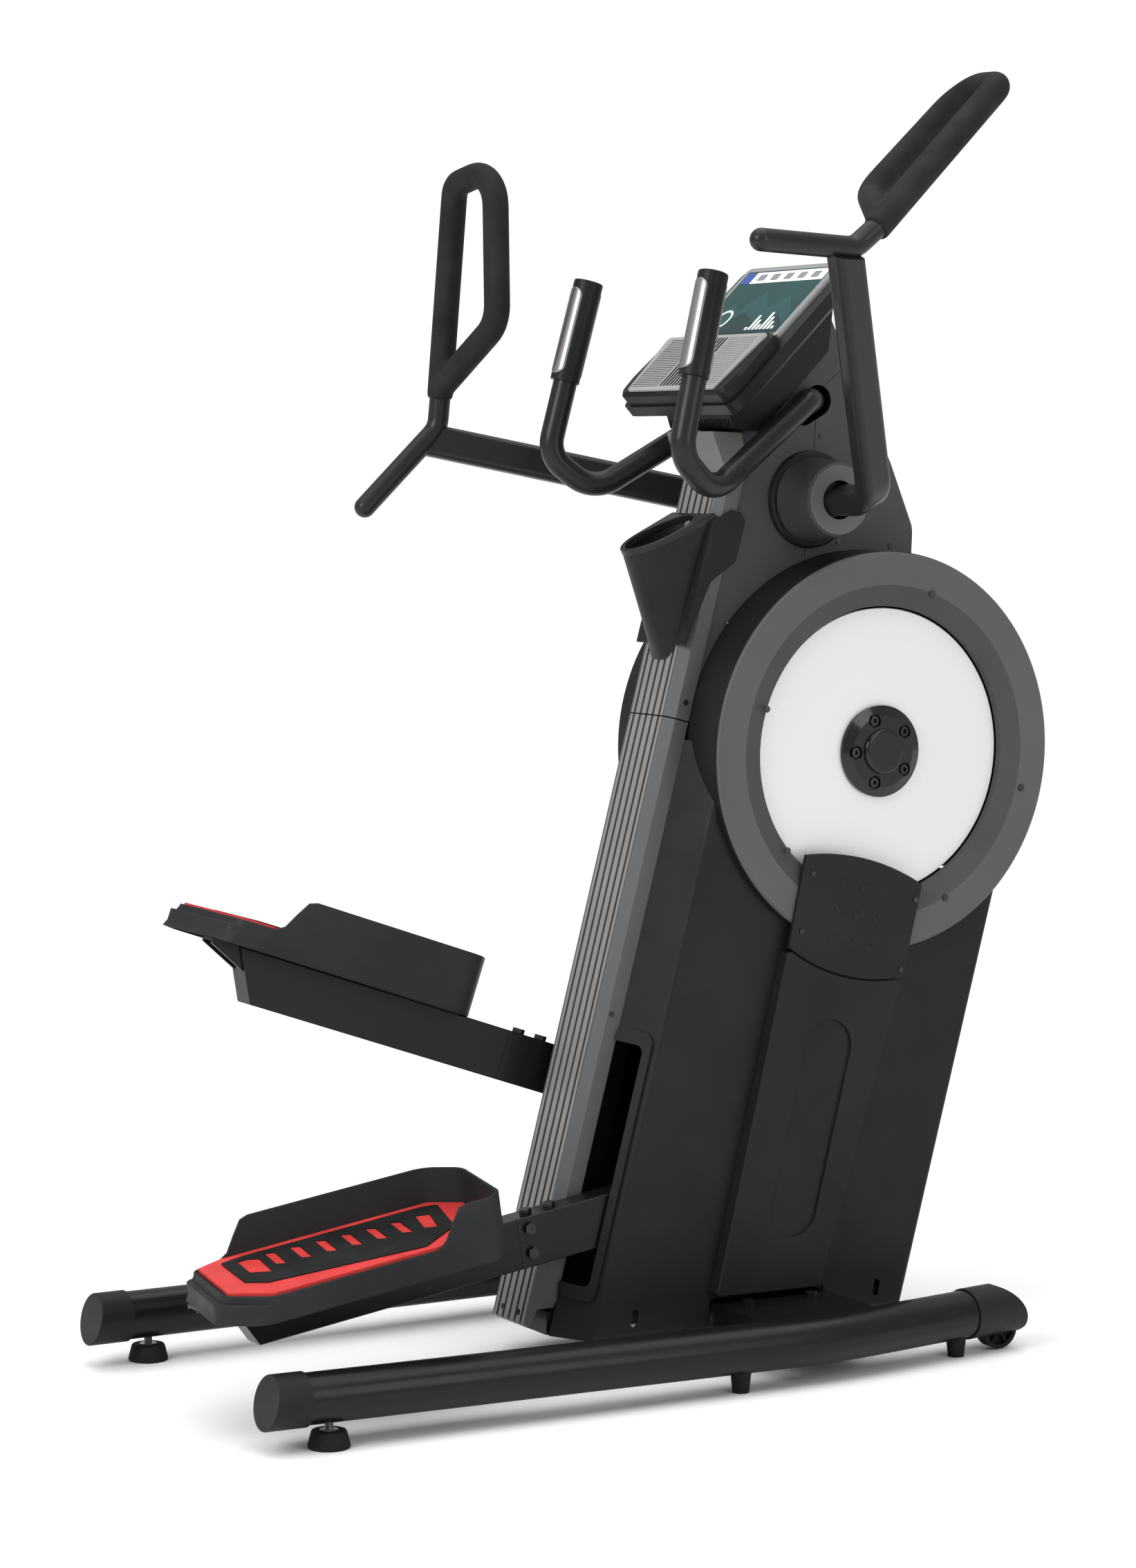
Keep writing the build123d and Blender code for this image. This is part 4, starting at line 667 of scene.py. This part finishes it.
def contact_inlays():
    """Bowed steel inlays on both faces of each grip, their ends rounded."""
    rows, columns = 40, 24
    middle, reach_along, reach_round = 0.074, 0.066, radians(47)
    outer, sunk = 0.0228, 0.0012
    built = bmesh.new()
    for hand in HANDS.values():
        start = Vector((hand * GRIP_START[0], *GRIP_START[1:])) / 1000
        end = Vector((hand * GRIP_END[0], *GRIP_END[1:])) / 1000
        along = (end - start).normalized()
        aside = along.cross(Vector((0, 1, 0))).normalized()
        forward = along.cross(aside).normalized()
        if forward.y < 0:
            forward.negate()
        for front in (-forward, forward):
            grid = []
            for row in range(rows + 1):
                share = 2 * row / rows - 1
                spot = start + along * (middle + reach_along * share)
                round_off = max(0.0, (abs(share) - 0.8) / 0.2)
                half = reach_round * (1 - round_off**2.4 * 0.75)
                line = []
                for column in range(columns + 1):
                    aslant = 2 * column / columns - 1
                    edge = max(abs(aslant) ** 14, abs(share) ** 60)
                    turn = half * aslant
                    out = (front * cos(turn) + aside * sin(turn)) * (outer - sunk * edge)
                    line.append(built.verts.new(spot + out))
                grid.append(line)
            for first, second in zip(grid, grid[1:]):
                for n in range(columns):
                    built.faces.new((first[n], first[n + 1], second[n + 1], second[n]))
    holder = bpy.data.objects.new("inlays", as_mesh(built, "inlays"))
    thick = holder.modifiers.new("thick", "SOLIDIFY")
    thick.thickness = 0.0006
    thick.offset = 0
    piece = place("contact_inlays", finished(holder), surfaces["contact_steel"], "frame", "contact_steel", 60.0)
    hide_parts("contact_plates")


speaker_panel()
contact_inlays()
for side in HANDS:
    tray(side)
    foam_loop(side)
    pad_cover(side)
    levelling_foot(side)
screen_picture()


# ---- studio ------------------------------------------------------------------------------

FLOOR_REACH = 14.0
ROOM_LIGHT = 0.55
BACKDROP_LIGHT = 1.1
LENS = 88.97
SENSOR = 36.0
CAMERA_SPOT = Vector((4.8316, -2.8856, 1.3126))
CAMERA_AZIMUTH = radians(59.7)
CAMERA_RISE = radians(4.8)


def pale_floor():
    """Large seamless floor."""
    mesh = bpy.data.meshes.new("floor")
    reach = FLOOR_REACH
    corners = [(-reach, -reach, 0), (reach, -reach, 0), (reach, reach, 0), (-reach, reach, 0)]
    mesh.from_pydata(corners, [], [(0, 1, 2, 3)])
    floor = bpy.data.objects.new("floor", mesh)
    surface = Surface("floor_white", 0.6, specular=0.3)
    surface.tone((0.86, 0.86, 0.86), (0.88, 0.88, 0.88), 0.8)
    mesh.materials.append(surface.material)
    bpy.context.scene.collection.objects.link(floor)


def softbox(name, spot, aim, size, power):
    """Rectangular area light that faces a point."""
    light = bpy.data.lights.new(name, "AREA")
    light.shape = "RECTANGLE"
    light.size, light.size_y = size
    light.energy = power
    holder = bpy.data.objects.new(name, light)
    holder.location = spot
    holder.rotation_euler = (Vector(aim) - Vector(spot)).to_track_quat("-Z", "Y").to_euler()
    bpy.context.scene.collection.objects.link(holder)


def overhead(strength, spread):
    """Even, soft light from straight above."""
    light = bpy.data.lights.new("overhead", "SUN")
    light.energy = strength
    light.angle = radians(spread)
    bpy.context.scene.collection.objects.link(bpy.data.objects.new("overhead", light))


def surround():
    """White surround, a little dimmer as a light than as a backdrop."""
    world = bpy.data.worlds.new("studio")
    world.use_nodes = True
    tree = world.node_tree
    backdrop = tree.nodes["Background"]
    backdrop.inputs["Color"].default_value = (1, 1, 1, 1)
    level = tree.nodes.new("ShaderNodeMapRange")
    level.inputs["To Min"].default_value = ROOM_LIGHT
    level.inputs["To Max"].default_value = BACKDROP_LIGHT
    tree.links.new(tree.nodes.new("ShaderNodeLightPath").outputs["Is Camera Ray"], level.inputs["Value"])
    tree.links.new(level.outputs["Result"], backdrop.inputs["Strength"])
    bpy.context.scene.world = world
    bpy.context.scene.view_settings.view_transform = "Standard"


def camera():
    """The camera, looking at the machine from behind its right side."""
    level = cos(CAMERA_RISE)
    away = Vector((sin(CAMERA_AZIMUTH) * level, -cos(CAMERA_AZIMUTH) * level, sin(CAMERA_RISE)))
    lens = bpy.data.cameras.new("camera")
    lens.lens = LENS
    lens.sensor_width = SENSOR
    holder = bpy.data.objects.new("camera", lens)
    holder.location = CAMERA_SPOT
    holder.rotation_euler = (-away).to_track_quat("-Z", "Y").to_euler()
    bpy.context.scene.collection.objects.link(holder)
    bpy.context.scene.camera = holder


surround()
pale_floor()
softbox("key", (1.2, -4.6, 3.4), (0, 0, 0.9), (2.4, 2.4), 150)
softbox("fill", (5.0, 1.6, 2.6), (0, 0, 0.9), (2.0, 3.0), 60)
overhead(2.3, 75)
camera()
